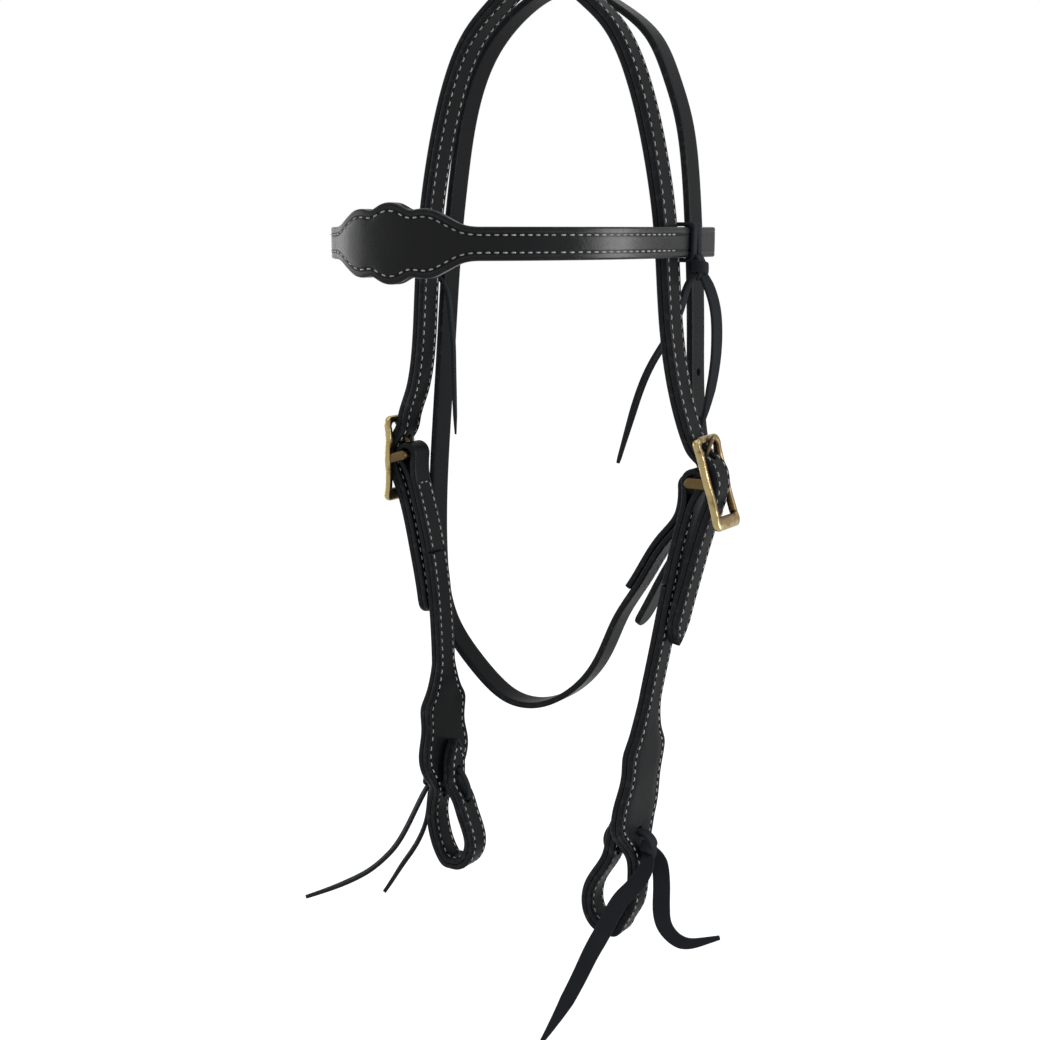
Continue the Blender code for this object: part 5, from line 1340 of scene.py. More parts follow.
class HEADSTALL_PG_thread(bpy.types.PropertyGroup):
    """Stitching."""

    colour: colour_setting("Thread colour", "Colour of the waxed thread", (0.38, 0.38, 0.385))
    pitch: number_setting("Stitch length", "From one hole to the next", 0.0050, 0.002, 0.01,
                          unit="LENGTH", precision=4)
    thickness: number_setting("Thread thickness", "Width of the thread", 0.00078, 0.0003, 0.002,
                              unit="LENGTH", precision=5)
    twist: number_setting("Twist", "Length of one turn of the strands", 0.0011, 0.0002, 0.01,
                          unit="LENGTH", precision=5)


class HEADSTALL_PG_brass(bpy.types.PropertyGroup):
    """Buckles."""

    bright: colour_setting("Bright brass", "Colour where the finish is rubbed through", (0.36, 0.285, 0.140))
    brown: colour_setting("Antique brown", "Colour of the antique finish", (0.080, 0.050, 0.021))
    patina: share_setting("Patina", "Share of the brown that is left", 0.92)


class HEADSTALL_PG_stage(bpy.types.PropertyGroup):
    """Floor and light."""

    drop: number_setting("Floor below", "How far the floor lies below the lowest lace", 0.030, 0.0, 1.0,
                         unit="LENGTH")
    reach: number_setting("Floor size", "Side of the square floor", 12.0, 1.0, 100.0, unit="LENGTH")
    shade: number_setting("Surround", "Brightness of the surround on the object", 0.62, 0.0, 2.0)
    key: power_setting("Key lamp", "Power of the tall lamp at the right", 13.0)
    side: power_setting("Side lamp", "Power of the tall lamp at the left", 6.5)
    fill: power_setting("Fill lamp", "Power of the large lamp above", 9.0)


# Operators


def looks():
    """The settings: leather, thread, brass and stage."""
    scene = bpy.context.scene
    return scene.headstall_leather, scene.headstall_thread, scene.headstall_brass, scene.headstall_stage


class HEADSTALL_OT_crown(bpy.types.Operator):
    """Crown strap of two plies, stitched along both edges; the near billet is pointed, the off one rounded"""

    bl_idname = "headstall.crown"
    bl_label = "Crown strap"

    def execute(self, context):
        leather, thread, _, _ = looks()
        near, off = crown_half(False), crown_half(True)
        whole = np.concatenate((off[::-1] * MIRROR, near))
        line, half = shaped(whole, np.full(len(whole), STRAP_WIDTH / 2),
                            (ROUND_LENGTH, ROUND_SHARES), (POINT_LENGTH, POINT_SHARES))
        rows = []
        holes = [billet_hole(near, NEAR_BUCKLE), billet_hole(off, OFF_BUCKLE)]
        holes[1]["vertices"] = holes[1]["vertices"] * MIRROR
        holes[1]["faces"] = [faces[:, ::-1] for faces in holes[1]["faces"]]
        for name, distance, flip in (("crown_face", LAYER, False), ("crown_lining", -LAYER, True)):
            middle = layer(line, distance)
            skin = ply(middle, half, PLY, flip=flip)
            piece = add_piece(name + "_leather", [skin], bridle_leather(name, leather), "headstall", [name])
            punch(piece, holes, False)
            rows += edge_rows(middle, half, PLY, flip=flip)
        add_piece("crown_thread", [stitches(rows, thread.pitch, thread.thickness)],
                  waxed_thread("crown_thread", thread), "headstall")
        return {"FINISHED"}


class HEADSTALL_OT_throatlatch(bpy.types.Operator):
    """Single strap under the throat and over the poll, folded and sewn round its buckle's bar"""

    bl_idname = "headstall.throatlatch"
    bl_label = "Throatlatch"

    def execute(self, context):
        leather, thread, _, _ = looks()
        line = throat_line()
        marks = ruler(line)
        inner = layer(line, -THROAT_PLY - GAP)
        chape = inner[marks < THROAT_CHAPE_LENGTH]
        fold = THROAT_BUCKLE.fold()
        whole = np.concatenate((chape[::-1], fold, line))
        lead = ruler(np.concatenate((chape[::-1], fold)))[-1]
        route, half = shaped(whole, np.full(len(whole), STRAP_WIDTH / 2), None, (ROUND_LENGTH, ROUND_SHARES))
        skin = ply(route, half, THROAT_PLY, sewn=0.0, back_round=EDGE_ROUND)
        finish = bridle_leather("throat_strap", leather)
        piece = add_piece("throat_strap_leather", [skin], finish, "headstall", ["throat_strap"])
        far_half = line[len(line) // 2:]
        place, _ = tongue_crossing(far_half, THROAT_BUCKLE)
        nearest = marks[np.argmin(np.linalg.norm(line - place, axis=1))]
        holes = [chape_slot(THROAT_BUCKLE, 0.0), billet_hole(far_half, THROAT_BUCKLE)]
        for step in SPARE_HOLE_STEPS:
            spot = at(line, [nearest + step * THROAT_HOLE_PITCH, nearest + step * THROAT_HOLE_PITCH + STEP])
            along = unit(spot[1] - spot[0])
            holes.append(prism(circle(THROAT_HOLE_RADIUS), spot[0], along, Y_AXIS, np.cross(along, Y_AXIS),
                               THROAT_PLY))
        punch(piece, holes, False)
        doubled = (lead + PLY_BUTT, lead + THROAT_CHAPE_LENGTH - 2 * PLY_BUTT)
        inside = (2 * PLY_BUTT, THROAT_CHAPE_LENGTH - PLY_BUTT)
        rows = edge_rows(route, half, THROAT_PLY, doubled) + edge_rows(route, half, THROAT_PLY, inside)
        rows += [cross_row(*rows[:2]), cross_row(*rows[2:4], end=0)]
        add_piece("throat_thread", [stitches(rows, thread.pitch, thread.thickness)],
                  waxed_thread("throat_thread", thread), "headstall")
        return {"FINISHED"}


def cross_row(first, second, end=-1):
    """Stitches straight across from the end of one row to the end of the other."""
    start, up = first[0][end], first[1][end]
    finish = second[0][end]
    share = np.linspace(*CROSS_SPAN, CROSS_STATIONS)[:, None]
    return start + (finish - start) * share, np.broadcast_to(up, (CROSS_STATIONS, 3))


def brow_outer():
    """Outer ply of the browband from the near loop to the middle of the brow: a superellipse in plan."""
    share = 2 / BROW_POWER
    turns = np.linspace(0, math.pi / 2, BROW_STATIONS)
    reach = BROW_BULGE - BROW_START
    places = np.stack((BROW_HALF * np.cos(turns) ** share, -BROW_START - reach * np.sin(turns) ** share,
                       np.full(len(turns), -BROW_DOWN)), axis=1)
    places[-1, 0] = 0.0
    return even(places)


def brow_end(outer, sign):
    """Loop and return of one end, from the outer leg's front round to the return's end."""
    face, back = throat_place(sign)
    play = NEAR_THROAT_PLAY if sign > 0 else OFF_THROAT_PLAY
    inner_leg = crown_inner_face() - CROWN_PLAY - PLY / 2
    throat_leg = face - play - PLY / 2
    radius = (BROW_HALF - throat_leg) / 2
    round_back = back + LOOP_END_ROOM - radius * LOOP_END_SHARE
    centre = np.array(((BROW_HALF + throat_leg) / 2, round_back, -BROW_DOWN))
    turns = np.linspace(0, math.pi, LOOP_STATIONS)[:, None]
    wrap = centre + radius * (X_AXIS * np.cos(turns) + Y_AXIS * np.sin(turns))
    front = np.array((inner_leg, -STRAP_WIDTH / 2 - GAP, -BROW_DOWN))
    middle = np.array((inner_leg, STRAP_WIDTH / 2, -BROW_DOWN))
    inner = spline((wrap[-1], middle, front), -Y_AXIS, -Y_AXIS)
    marks = ruler(outer)
    keep = (marks > BROW_MERGE) & (marks < BROW_MERGE + BROW_RETURN)
    returned = layer(outer, 2 * LAYER, Z_AXIS)[keep]
    merge = spline((inner[-1], returned[0]), -Y_AXIS, returned[1] - returned[0])
    return np.concatenate((wrap, inner[1:], merge[1:-1], returned)), marks[keep][-1]


class HEADSTALL_OT_browband(bpy.types.Operator):
    """Scalloped browband with a raised plain panel, its ends turned back into loops for the straps"""

    bl_idname = "headstall.browband"
    bl_label = "Browband"

    def execute(self, context):
        leather, thread, _, _ = looks()
        outer = brow_outer()
        marks = ruler(outer)
        grown = swelling((marks[-1] - marks) / BROW_LOBES_HALF, BROW_SHARES)
        near_end, near_stop = brow_end(outer, 1)
        off_end, off_stop = brow_end(outer, -1)
        both = np.concatenate((grown, grown[-2::-1]))
        front = np.concatenate((outer, outer[-2::-1] * MIRROR))
        line = np.concatenate((near_end[::-1], front, off_end * MIRROR))
        swell = np.concatenate((np.zeros(len(near_end)), both, np.zeros(len(off_end))))
        half = (STRAP_WIDTH + (BROW_LOBE_HEIGHT - STRAP_WIDTH) * swell) / 2
        inset = np.full(len(line), BROW_ROW_INSET)
        before = ruler(near_end)[-1]
        length = ruler(front)[-1]
        places = ruler(line)
        first, last = before + BROW_MERGE + NEAR_BROW_PLAIN, before + length - BROW_MERGE
        sewn = np.clip(np.minimum(places - first, last - places) / STEP, 0, 1)
        panel = np.clip(swell * PANEL_GAIN, 0, 1)
        skin = ply(line, half, PLY, Z_AXIS, flip=True, sewn=sewn, inset=inset, panel=panel)
        finish = bridle_leather("browband_face", leather, BAND_GLOSS, BAND_SMOOTH)
        add_piece("browband_face_leather", [skin], finish, "browband", ["browband_face"])
        lobes = before + length / 2 - BROW_LOBES_HALF, before + length / 2 + BROW_LOBES_HALF
        rows = []
        for span in ((first, lobes[0]), (lobes[1], last)):
            rows += edge_rows(line, half, PLY, span, side=Z_AXIS, flip=True, inset=inset)
        fine = edge_rows(line, half, PLY, lobes, side=Z_AXIS, flip=True, inset=inset)

        places = ruler(front)
        kept = (places > near_stop + PLY_BUTT) & (places < length - off_stop - PLY_BUTT)
        under = layer(front, 2 * LAYER, Z_AXIS)[kept]
        half = ((STRAP_WIDTH + (BROW_LOBE_HEIGHT - STRAP_WIDTH) * both) / 2)[kept]
        inset = np.full(kept.sum(), BROW_ROW_INSET)
        skin = ply(under, half, PLY, Z_AXIS, inset=inset)
        finish = bridle_leather("browband_lining", leather, BAND_LINING_GLOSS)
        add_piece("browband_lining_leather", [skin], finish, "browband", ["browband_lining"])
        rows += edge_rows(under, half, PLY, side=Z_AXIS, inset=inset)
        skins = [stitches(rows, thread.pitch, thread.thickness),
                 stitches(fine, thread.pitch * LOBE_PITCH_SHARE, thread.thickness)]
        add_piece("browband_thread", skins, waxed_thread("browband_thread", thread), "browband")
        return {"FINISHED"}


def cheek_plies(mirrored):
    """Lines of a cheek: the main leg, the loop's two legs and the flush end, with the half widths along."""
    buckle = OFF_BUCKLE if mirrored else NEAR_BUCKLE
    main = cheek_line(buckle)
    descent, ascent, back = loop_lines(main, mirrored)
    leg = np.concatenate((main, descent[1:]))
    table = OFF_LOBE_SHARES if mirrored else NEAR_LOBE_SHARES
    down = (CHEEK_TOP[2] - leg[:, 2]) / CHEEK_DROP
    swell = swelling(down, table)
    widest = max(table, key=lambda pair: pair[1])[0]
    narrowed = np.clip((down - widest) / LOOP_NARROWING, 0, 1)
    base = STRAP_WIDTH + (LOOP_STRAP_WIDTH - STRAP_WIDTH) * narrowed
    rest = np.full(len(ascent) - 1 + len(back), LOOP_STRAP_WIDTH)
    widths = np.concatenate((base + (LOBE_WIDTH - base) * swell, rest)) / 2
    swell = np.concatenate((swell, np.zeros(len(rest))))
    line = np.concatenate((leg, ascent[1:], back))
    return buckle, main, descent, ascent, back, line, widths, swell


def tie_holes(main, descent, ascent, back, mirrored):
    """Places of the lace's holes: on the outer and on the inner leg, at two heights."""
    leg = np.concatenate((main, descent[1:]))
    inner = np.concatenate((ascent[len(ascent) // 2:], back))
    heights = [cheek_point(0, share, 0)[2] for share in (OFF_HOLE_SHARES if mirrored else NEAR_HOLE_SHARES)]
    return [(at_height(leg, height), at_height(inner, height)) for height in heights]


class HEADSTALL_OT_cheeks(bpy.types.Operator):
    """Both cheeks: two plies folded round the buckle's bar, scalloped, and turned up into the bit loop"""

    bl_idname = "headstall.cheeks"
    bl_label = "Cheeks"

    def execute(self, context):
        leather, thread, _, _ = looks()
        for side, mirrored in (("near", False), ("off", True)):
            self.cheek(side, mirrored, leather, thread)
        return {"FINISHED"}

    def cheek(self, side, mirrored, leather, thread):
        """One cheek."""
        buckle, main, descent, ascent, back, whole, widths, swells = cheek_plies(mirrored)
        marks = ruler(whole)
        line, half = shaped(whole, widths, None, (POINT_LENGTH, POINT_SHARES))
        places = ruler(line)
        swell = np.interp(places, marks, swells)
        panel = np.clip(swell * PANEL_GAIN, 0, 1)
        inset = ROW_INSET + (LOBE_ROW_INSET - ROW_INSET) * panel

        chape = layer(main, -LAYER)[ruler(main) < CHAPE_LENGTH]
        lead = np.concatenate((chape[::-1], buckle.fold()))
        route = np.concatenate((lead, layer(line, LAYER)))
        plain = np.full(len(lead), STRAP_WIDTH / 2)
        route_half = np.concatenate((plain, half))
        route_inset = np.concatenate((np.full(len(lead), ROW_INSET), inset))
        route_panel = np.concatenate((plain * 0, panel))
        route_marks = ruler(route)
        before, total = route_marks[len(lead)], route_marks[-1]
        sewn = np.where((route_marks > CHAPE_LENGTH) & (route_marks < before), 0.0, 1.0)
        name = side + "_cheek_face"
        skin = ply(route, route_half, PLY, sewn=sewn, inset=route_inset, panel=route_panel, lined=1.0)
        face = add_piece(name + "_leather", [skin], bridle_leather(name, leather), side + "_cheek", [name],
                         mirrored)
        rows = []
        for span in ((PLY_BUTT, CHAPE_LENGTH - PLY_BUTT), (before, total)):
            rows += edge_rows(route, route_half, PLY, span, inset=route_inset)
        rows.append(cross_row(rows[0], rows[1]))

        kept = places > CHAPE_LENGTH + PLY_BUTT
        inner, half, inset = layer(line, -LAYER)[kept], half[kept], inset[kept]
        name = side + "_cheek_lining"
        skin = ply(inner, half, PLY, flip=True, inset=inset)
        finish = bridle_leather(name, leather, CHEEK_LINING_GLOSS)
        lining = add_piece(name + "_leather", [skin], finish, side + "_cheek", [name], mirrored)
        start = places[kept][0]
        neck = ruler(main)[-1] - start
        flush = neck - ruler(back)[-1]
        climbed = ruler(np.concatenate((main, descent[1:], ascent[1:])))[-1] - start
        for span in ((0.0, flush), (neck, climbed)):
            rows += edge_rows(inner, half, PLY, span, flip=True, inset=inset)
        beside = LOOP_STRAP_WIDTH / 2 + thread.thickness
        rows += edge_rows(inner, half, PLY, (flush, neck), flip=True, inset=inset, clear=beside)
        pitch = thread.pitch * CHEEK_PITCH_SHARE
        add_piece(side + "_cheek_thread", [stitches(rows, pitch, thread.thickness)],
                  waxed_thread(side + "_cheek_thread", thread), side + "_cheek", mirrored=mirrored)

        bores = []
        for outer_leg, inner_leg in tie_holes(main, descent, ascent, back, mirrored):
            middle = (outer_leg + inner_leg) / 2
            reach = (outer_leg[0] - inner_leg[0]) / 2 + STACK
            bores.append(prism(circle(TIE_HOLE_RADIUS), middle, Y_AXIS, Z_AXIS, X_AXIS, reach))
        punch(face, [chape_slot(buckle, CHEEK_SWING_IN), *bores], mirrored)
        punch(lining, bores, mirrored)


def lace_tail(start, shares, width, way):
    """One end of a lace, from its knot to its tip: a spline through its places, tapered by its table."""
    places = np.array(shares) * (1, 1, -1)
    line = spline(start + TAIL_REACH * places)
    marks = ruler(line) / ruler(line)[-1]
    steps, taper = zip(*TAIL_TAPER_SHARES)
    return ribbon(line, width * np.interp(marks, steps, taper), untwisted(line, way), cup=LACE_CUP)


def wrap_band(centre, sizes, width, lean=0.0):
    """The turn of lace that holds a knot: a band over its front, from one side to the other, turned about
    the line that faces outwards so that its back end lies lower."""
    places = np.array(WRAP_SHARES) * np.array(sizes)
    across = np.array((0.0, math.cos(lean), -math.sin(lean)))
    upright = np.array((0.0, math.sin(lean), math.cos(lean)))
    line = spline(centre + places[:, :1] * X_AXIS + places[:, 1:2] * across + places[:, 2:] * upright)
    return ribbon(line, width, upright, cup=WRAP_CUP)


def bit_lace(mirrored):
    """Lace of one bit loop: through both holes, arched down outside into a knot, with two tails."""
    _, main, descent, ascent, back, _, _, _ = cheek_plies(mirrored)
    (upper_out, upper_in), (lower_out, lower_in) = tie_holes(main, descent, ascent, back, mirrored)
    half = STACK / 2
    clear = half + GAP + LACE / 2 + LACE_STAND
    leave = half + GAP
    drop = lower_out - upper_out
    turn = (lower_in - upper_in) * LACE_TURN_SHARE
    thick = BIT_KNOT_SIZES[0]
    centre = (upper_out + lower_out) / 2 + drop * KNOT_DOWN_SHARE
    centre[0] = max(upper_out[0], lower_out[0]) + half + GAP + thick / 2
    inside = spline([
        upper_out + X_AXIS * leave, upper_in, upper_in - X_AXIS * leave, upper_in - X_AXIS * clear + turn,
        lower_in - X_AXIS * clear - turn, lower_in - X_AXIS * leave, lower_in, lower_out + X_AXIS * leave,
    ])
    down = centre[2] - upper_out[2]
    knots = [upper_in, upper_out + X_AXIS * leave]
    for proud, share in BIGHT_SHARES:
        way = upper_out + (centre - upper_out) * share
        knots.append(np.array((centre[0] + thick * (proud - 0.5), way[1], upper_out[2] + down * share)))
    arch = spline(knots)
    share = ruler(arch) / ruler(arch)[-1]
    widths = np.interp(share, BIGHT_WIDTH_PLACES, BIGHT_WIDTHS)
    skins = [ribbon(inside, LACE_IN_HOLE, Y_AXIS), ribbon(arch, widths, Y_AXIS, cup=LACE_CUP),
             wrap_band(centre, BIT_KNOT_SIZES, BIT_KNOT_SIZES[2] * WRAP_HEIGHT_SHARE, BIT_KNOT_LEAN)]
    if mirrored:
        tails = zip((OFF_BIT_TAIL_SHARES, OFF_BIT_SHORT_SHARES), OFF_BIT_TAIL_WAYS)
    else:
        tails = zip((NEAR_BIT_TAIL_SHARES, NEAR_BIT_SHORT_SHARES), NEAR_BIT_TAIL_WAYS)
    skins += [lace_tail(centre, shares, LACE_WIDTH, way) for shares, way in tails]
    return skins


def ring_line(back, lean):
    """Closed line round both legs of a browband loop: a rectangle with round corners, leaning a little."""
    inner = crown_inner_face() - CROWN_PLAY - PLY - GAP - LACE / 2
    outer = BROW_HALF + PLY / 2 + GAP + LACE / 2
    half = STRAP_WIDTH / 2 + GAP + LACE / 2
    reach = np.array(((outer - inner) / 2 - BROW_RING_CORNER, half - BROW_RING_CORNER))
    corners = []
    for quarter, sign in enumerate(((1, 1), (-1, 1), (-1, -1), (1, -1))):
        turns = (np.linspace(0, 1, RING_CORNER_STATIONS) + quarter) * math.pi / 2
        arc = np.stack((np.cos(turns), np.sin(turns)), axis=1) * BROW_RING_CORNER
        corners.append(np.array(sign) * reach + arc)
    flat = np.concatenate((*corners, corners[0][:1]))
    across, up = flat[:, 0], flat[:, 1]
    places = np.stack(((inner + outer) / 2 + across, back + lean * up / half, up - BROW_DOWN), axis=1)
    return even(places)[:-1], outer


def brow_lace(mirrored):
    """Lace round one browband loop: turns round both legs, a knot below them, and its tails."""
    sign = -1 if mirrored else 1
    throat_back = throat_place(sign)[1]
    crown_back = STRAP_WIDTH / 2
    room = throat_back - STRAP_WIDTH - crown_back
    middle = crown_back + room / 2
    step = BROW_LACE_WIDTH + BROW_LACE_GAP
    backs = [middle - step / 2, middle + step / 2] if room > 2 * step + 2 * GAP else [middle]
    skins = []
    for number, back in enumerate(backs):
        lean = BROW_LACE_GAP * (1 - 2 * number) * (len(backs) - 1)
        line, outer = ring_line(back, lean)
        skins.append(ribbon(line, BROW_LACE_WIDTH, Y_AXIS, closed=True))
    thick, wide, high = BROW_KNOT_SIZES
    wide = min(wide, room - 2 * GAP)
    proud, hung = BROW_KNOT_SHARES
    centre = np.array((outer + thick * proud, middle, -BROW_DOWN - STRAP_WIDTH / 2 - high * hung))
    hang = spline([centre + np.array((thick * out, 0, high * up)) for out, up in BROW_HANG_SHARES])
    skins.append(ribbon(hang, wide * BROW_HANG_WIDTH_SHARE, Y_AXIS, cup=LACE_CUP))
    skins.append(wrap_band(centre, (thick * BROW_WRAP_SHARE, wide, high), high * WRAP_HEIGHT_SHARE))
    tails = [OFF_BROW_INNER_SHARES] if mirrored else [NEAR_BROW_LONG_SHARES, NEAR_BROW_INNER_SHARES]
    width = BROW_LACE_WIDTH if mirrored else BROW_LACE_TAIL
    skins += [lace_tail(centre, shares, width, way) for shares, way in zip(tails, BROW_TAIL_WAYS)]
    return skins


class HEADSTALL_OT_laces(bpy.types.Operator):
    """Laces of the bit loops and of the browband's loops, with their knots and tails"""

    bl_idname = "headstall.laces"
    bl_label = "Laces"

    def execute(self, context):
        leather, _, _, _ = looks()
        for side, mirrored in (("near", False), ("off", True)):
            for tie, skins, body in (("_bit_tie", bit_lace(mirrored), side + "_cheek"),
                                     ("_brow_tie", brow_lace(mirrored), "browband")):
                name = side + tie
                add_piece(name + "_lace", skins, lace_leather(name, leather), body, [name], mirrored)
        return {"FINISHED"}


def frame_outline(buckle):
    """Outer and inner outline of a buckle frame in its plane: rounded corners, rails waisted towards their
    middle and knuckled at the bar. Both are closed curves with as many points."""
    half = buckle.height / 2
    inner_end = buckle.half_room + BUCKLE_FLARE
    outer_end = inner_end + buckle.wire
    outer = []
    inner = []
    knuckle = KNUCKLE_LENGTH / 2
    heights = np.linspace(-half * RAIL_SHARE, half * RAIL_SHARE, RAIL_STATIONS)
    bump = BUCKLE_KNUCKLE * np.exp(-((heights - buckle.bar_rise) / knuckle) ** KNUCKLE_POWER)
    flare = BUCKLE_FLARE * (heights / half) ** 2
    by_wire, least = INNER_CORNER_SHARES
    top = TOP_CORNER_RADIUS, buckle.wire
    bottom = BOTTOM_CORNER_RADIUS, buckle.plate
    corners = (1, 1, *top, 0), (-1, 1, *top, 90), (-1, -1, *bottom, 180), (1, -1, *bottom, 270)
    for number, (sign_y, sign_z, radius, bar, start) in enumerate(corners):
        if number in (0, 2):
            order = heights if sign_y > 0 else heights[::-1]
            reach = buckle.half_room + flare if sign_y > 0 else (buckle.half_room + flare)[::-1]
            proud = bump if sign_y > 0 else bump[::-1]
            outer.append(np.stack((sign_y * (reach + buckle.wire + proud), order), axis=1))
            inner.append(np.stack((sign_y * reach, order), axis=1))
        turns = np.radians(np.linspace(start, start + 90, FRAME_CORNER_STATIONS))
        round_way = np.stack((np.cos(turns), np.sin(turns)), axis=1)
        small = max(radius - buckle.wire * by_wire, radius * least)
        middle = np.array((sign_y * (outer_end - radius), sign_z * (half - radius)))
        outer.append(middle + radius * round_way)
        middle = np.array((sign_y * (inner_end - small), sign_z * (half - bar - small)))
        inner.append(middle + small * round_way)
    return np.concatenate(outer), np.concatenate(inner)


def frame_skins(buckle):
    """Cast frame: superellipse sections between the two outlines, two dropped ears and the bar between."""
    outer, inner = frame_outline(buckle)
    middle = (outer + inner) / 2
    reach = (outer - inner) / 2
    wide, high = squarish(METAL_SIDES, METAL_SQUARENESS)
    flat = middle[:, None] + reach[:, None] * wide[None, :, None]
    out = np.broadcast_to(high[None] * buckle.wire / 2, flat.shape[:2])
    rings = buckle.centre + flat[..., :1] * Y_AXIS + flat[..., 1:] * buckle.up + out[..., None] * buckle.out
    # The outer edge face is marked as rubbed, which brightens the brass partly as a painted highlight
    skins = [shell(rings, closed=True, rub=np.clip(np.maximum(high * FRONT_RUB_AND_HIGHLIGHT, wide), 0, 1)[None])]
    end = buckle.bar_radius + EAR_WALL
    share = (1 - np.cos(np.linspace(0, math.pi, EAR_STATIONS))) / 2
    depth = buckle.wire * EAR_START_SHARE - (buckle.drop + end + buckle.wire * EAR_START_SHARE) * share
    away = np.clip((-depth - buckle.drop) / end, -1, 1)
    way = np.clip(-depth / buckle.drop, 0, 1)
    taper = EAR_HEIGHT / 2 + (end - EAR_HEIGHT / 2) * way**2
    tall = np.where(away > 0, end * np.sqrt(np.clip(1 - away**2, EAR_TIP_LEAST, 1)), taper)
    rise = buckle.bar_rise * way
    for sign in (1, -1):
        along = sign * (buckle.half_room + EAR_INSET + buckle.wire / 2)
        points = buckle.centre + depth[:, None] * buckle.out + rise[:, None] * buckle.up + along * Y_AXIS
        broad = np.full(len(points), buckle.wire * EAR_HALF_SHARE)
        skins.append(bar_skin(points, broad, tall, Y_AXIS, buckle.up))
    reach = buckle.half_room + buckle.wire * BAR_REACH_SHARE
    points = buckle.bar + np.linspace(-reach, reach, BAR_STATIONS)[:, None] * Y_AXIS
    size = np.full(BAR_STATIONS, buckle.bar_radius)
    skins.append(bar_skin(points, size, size, buckle.out, buckle.up, power=1.0))
    return skins


def tongue_skins(buckle):
    """Loose tongue: a flat eye round the bar and a shank that narrows and dips to its tip on the top bar."""
    way = buckle.tongue_way()
    side = np.cross(Y_AXIS, way)
    inner = buckle.bar_radius + GAP
    ring = (inner + buckle.eye_radius) / 2
    turns = full_turn(EYE_STATIONS)
    round_way = way * np.cos(turns)[:, None] + side * np.sin(turns)[:, None]
    wide, high = squarish(EYE_SIDES, METAL_SQUARENESS)
    wide = wide * TONGUE_WIDTH / 2
    wall = high * (buckle.eye_radius - inner) / 2
    rings = buckle.bar + round_way[:, None] * (ring + wall)[None, :, None] + Y_AXIS * wide[None, :, None]
    skins = [shell(rings, closed=True)]
    share = np.linspace(0, 1, SHANK_STATIONS)
    reach = ring + (buckle.tongue_length - ring) * share
    bow = TONGUE_THICKNESS * SHANK_BOW * np.sin(math.pi * share)
    points = buckle.bar + way * reach[:, None] - side * bow[:, None]
    past = np.clip((share - SHANK_TIP_START) / (1 - SHANK_TIP_START), 0, 1)
    tip = np.sqrt(np.clip(1 - past**2, SHANK_TIP_LEAST, 1))
    thick = (TONGUE_THICKNESS / 2) * (1 - SHANK_THINNING * share) * tip
    broad = (TONGUE_WIDTH / 2) * (1 - SHANK_WAIST * np.sin(math.pi * share)) * tip
    skins.append(bar_skin(points, broad, thick, Y_AXIS, side, power=SHANK_SQUARENESS, sides=SHANK_SIDES))
    return skins


class HEADSTALL_OT_buckles(bpy.types.Operator):
    """Frames and loose tongues of the three cart buckles, in antiqued brass"""

    bl_idname = "headstall.buckles"
    bl_label = "Buckles"

    def execute(self, context):
        _, _, brass, _ = looks()
        for side, buckle, mirrored in (
                ("near", NEAR_BUCKLE, False), ("off", OFF_BUCKLE, True), ("throat", THROAT_BUCKLE, False)):
            name = side + "_buckle_frame"
            add_piece(name + "_brass", frame_skins(buckle), antiqued_brass(name, brass), "headstall", [name],
                      mirrored)
            name = side + "_buckle_tongue"
            add_piece(name + "_brass", tongue_skins(buckle), antiqued_brass(name, brass), side + "_tongue",
                      [name], mirrored)
        return {"FINISHED"}


def backdrop_paper():
    """Pale paper that keeps a soft shadow and shows the camera the same white as the surround."""
    material = bpy.data.materials.new("backdrop_paper")
    material.use_nodes = True
    material.node_tree.nodes.clear()
    nodes = Nodes(material.node_tree)
    paper = nodes.node("BsdfDiffuse", {"Color": PAPER}).outputs[0]
    glow = nodes.node("Emission", {"Strength": PAPER_GLOW}).outputs[0]
    share = nodes.sum("MULTIPLY", nodes.seen(), PAPER_GLOW_SHARE)
    mix = nodes.node("MixShader", {0: share, 1: paper, 2: glow}).outputs[0]
    nodes.node("OutputMaterial", {"Surface": mix})
    return material


def surround(stage):
    """World: white to the camera and in reflections, and a plain soft light on the object."""
    world = bpy.data.worlds.new("surround")
    bpy.context.scene.world = world
    world.use_nodes = True
    nodes = Nodes(world.node_tree)
    clear = nodes.sum("MAXIMUM", nodes.seen(), nodes.node("LightPath").outputs["Is Transmission Ray"])
    strength = nodes.node("MapRange", {"Value": clear, "To Min": stage.shade, "To Max": 1.0}).outputs[0]
    background = nodes.tree.nodes["Background"]
    nodes.feed(background.inputs["Color"], WHITE)
    nodes.feed(background.inputs["Strength"], strength)


def aim(item, place, target):
    """Put a lamp or camera at a place, looking at the target."""
    item.location = place
    item.rotation_euler = (Vector(target) - Vector(place)).to_track_quat("-Z", "Y").to_euler()


def lamp(name, place, sizes, power):
    """A soft rectangular lamp that looks at the middle of the headstall."""
    light = bpy.data.lights.new(name, "AREA")
    light.shape = "RECTANGLE"
    light.size, light.size_y = sizes
    light.energy = power
    item = bpy.data.objects.new(name, light)
    bpy.context.scene.collection.objects.link(item)
    aim(item, place, CAMERA_TARGET)


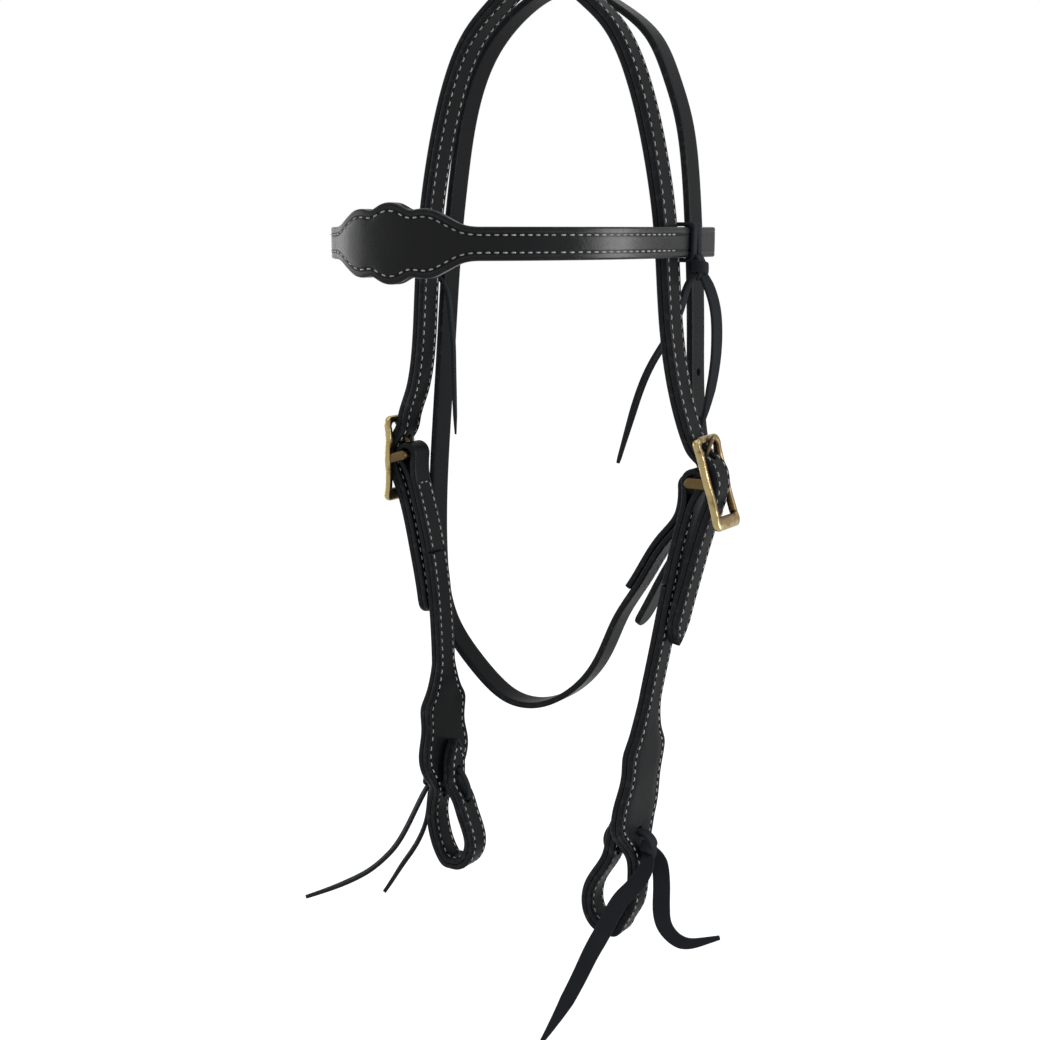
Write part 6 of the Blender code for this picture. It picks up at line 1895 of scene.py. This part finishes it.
class HEADSTALL_OT_stage(bpy.types.Operator):
    """Pale floor, soft lamps, white surround and the photograph's camera"""

    bl_idname = "headstall.stage"
    bl_label = "Stage"

    def execute(self, context):
        stage = looks()[3]
        scene = context.scene
        scene.view_settings.view_transform = "Standard"
        half = stage.reach / 2
        height = CAD_BOX[0][2] - stage.drop
        mesh = bpy.data.meshes.new("floor")
        corners = [(-half, -half, height), (half, -half, height), (half, half, height), (-half, half, height)]
        mesh.from_pydata(corners, [], [(0, 1, 2, 3)])
        mesh.materials.append(backdrop_paper())
        floor = bpy.data.objects.new("floor", mesh)
        scene.collection.objects.link(floor)
        surround(stage)
        for name, place, sizes, setting in LAMPS:
            lamp(name, place, sizes, getattr(stage, setting))
        camera = bpy.data.cameras.new("camera")
        camera.lens = CAMERA_LENS
        camera.sensor_width = CAMERA_SENSOR
        camera.clip_start = CAMERA_NEAR
        view = bpy.data.objects.new("camera", camera)
        scene.collection.objects.link(view)
        aim(view, CAMERA_PLACE, CAMERA_TARGET)
        scene.camera = view
        return {"FINISHED"}


GROUPS = (
    ("headstall_leather", HEADSTALL_PG_leather), ("headstall_thread", HEADSTALL_PG_thread),
    ("headstall_brass", HEADSTALL_PG_brass), ("headstall_stage", HEADSTALL_PG_stage),
)
OPERATORS = (
    HEADSTALL_OT_stage, HEADSTALL_OT_crown, HEADSTALL_OT_throatlatch, HEADSTALL_OT_browband,
    HEADSTALL_OT_cheeks, HEADSTALL_OT_laces, HEADSTALL_OT_buckles,
)


class HEADSTALL_PT_panel(bpy.types.Panel):
    """The headstall's settings and pieces."""

    bl_idname = "HEADSTALL_PT_panel"
    bl_label = "Western headstall"
    bl_space_type = "VIEW_3D"
    bl_region_type = "UI"
    bl_category = "Headstall"

    def draw(self, context):
        for attribute, group in GROUPS:
            box = self.layout.box()
            for key in group.__annotations__:
                box.prop(getattr(context.scene, attribute), key)
        for operator in OPERATORS:
            self.layout.operator(operator.bl_idname)


def register():
    """Make the settings, operators and panel known to Blender."""
    for attribute, group in GROUPS:
        bpy.utils.register_class(group)
        setattr(bpy.types.Scene, attribute, bpy.props.PointerProperty(type=group))
    for item in (*OPERATORS, HEADSTALL_PT_panel):
        bpy.utils.register_class(item)


def unregister():
    """Take them away again."""
    for item in (HEADSTALL_PT_panel, *reversed(OPERATORS)):
        bpy.utils.unregister_class(item)
    for attribute, group in reversed(GROUPS):
        delattr(bpy.types.Scene, attribute)
        bpy.utils.unregister_class(group)


def main():
    """Build every piece."""
    register()
    bpy.ops.headstall.stage()
    bpy.ops.headstall.crown()
    bpy.ops.headstall.throatlatch()
    bpy.ops.headstall.browband()
    bpy.ops.headstall.cheeks()
    bpy.ops.headstall.laces()
    bpy.ops.headstall.buckles()
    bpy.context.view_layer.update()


if __name__ == "__main__":
    main()
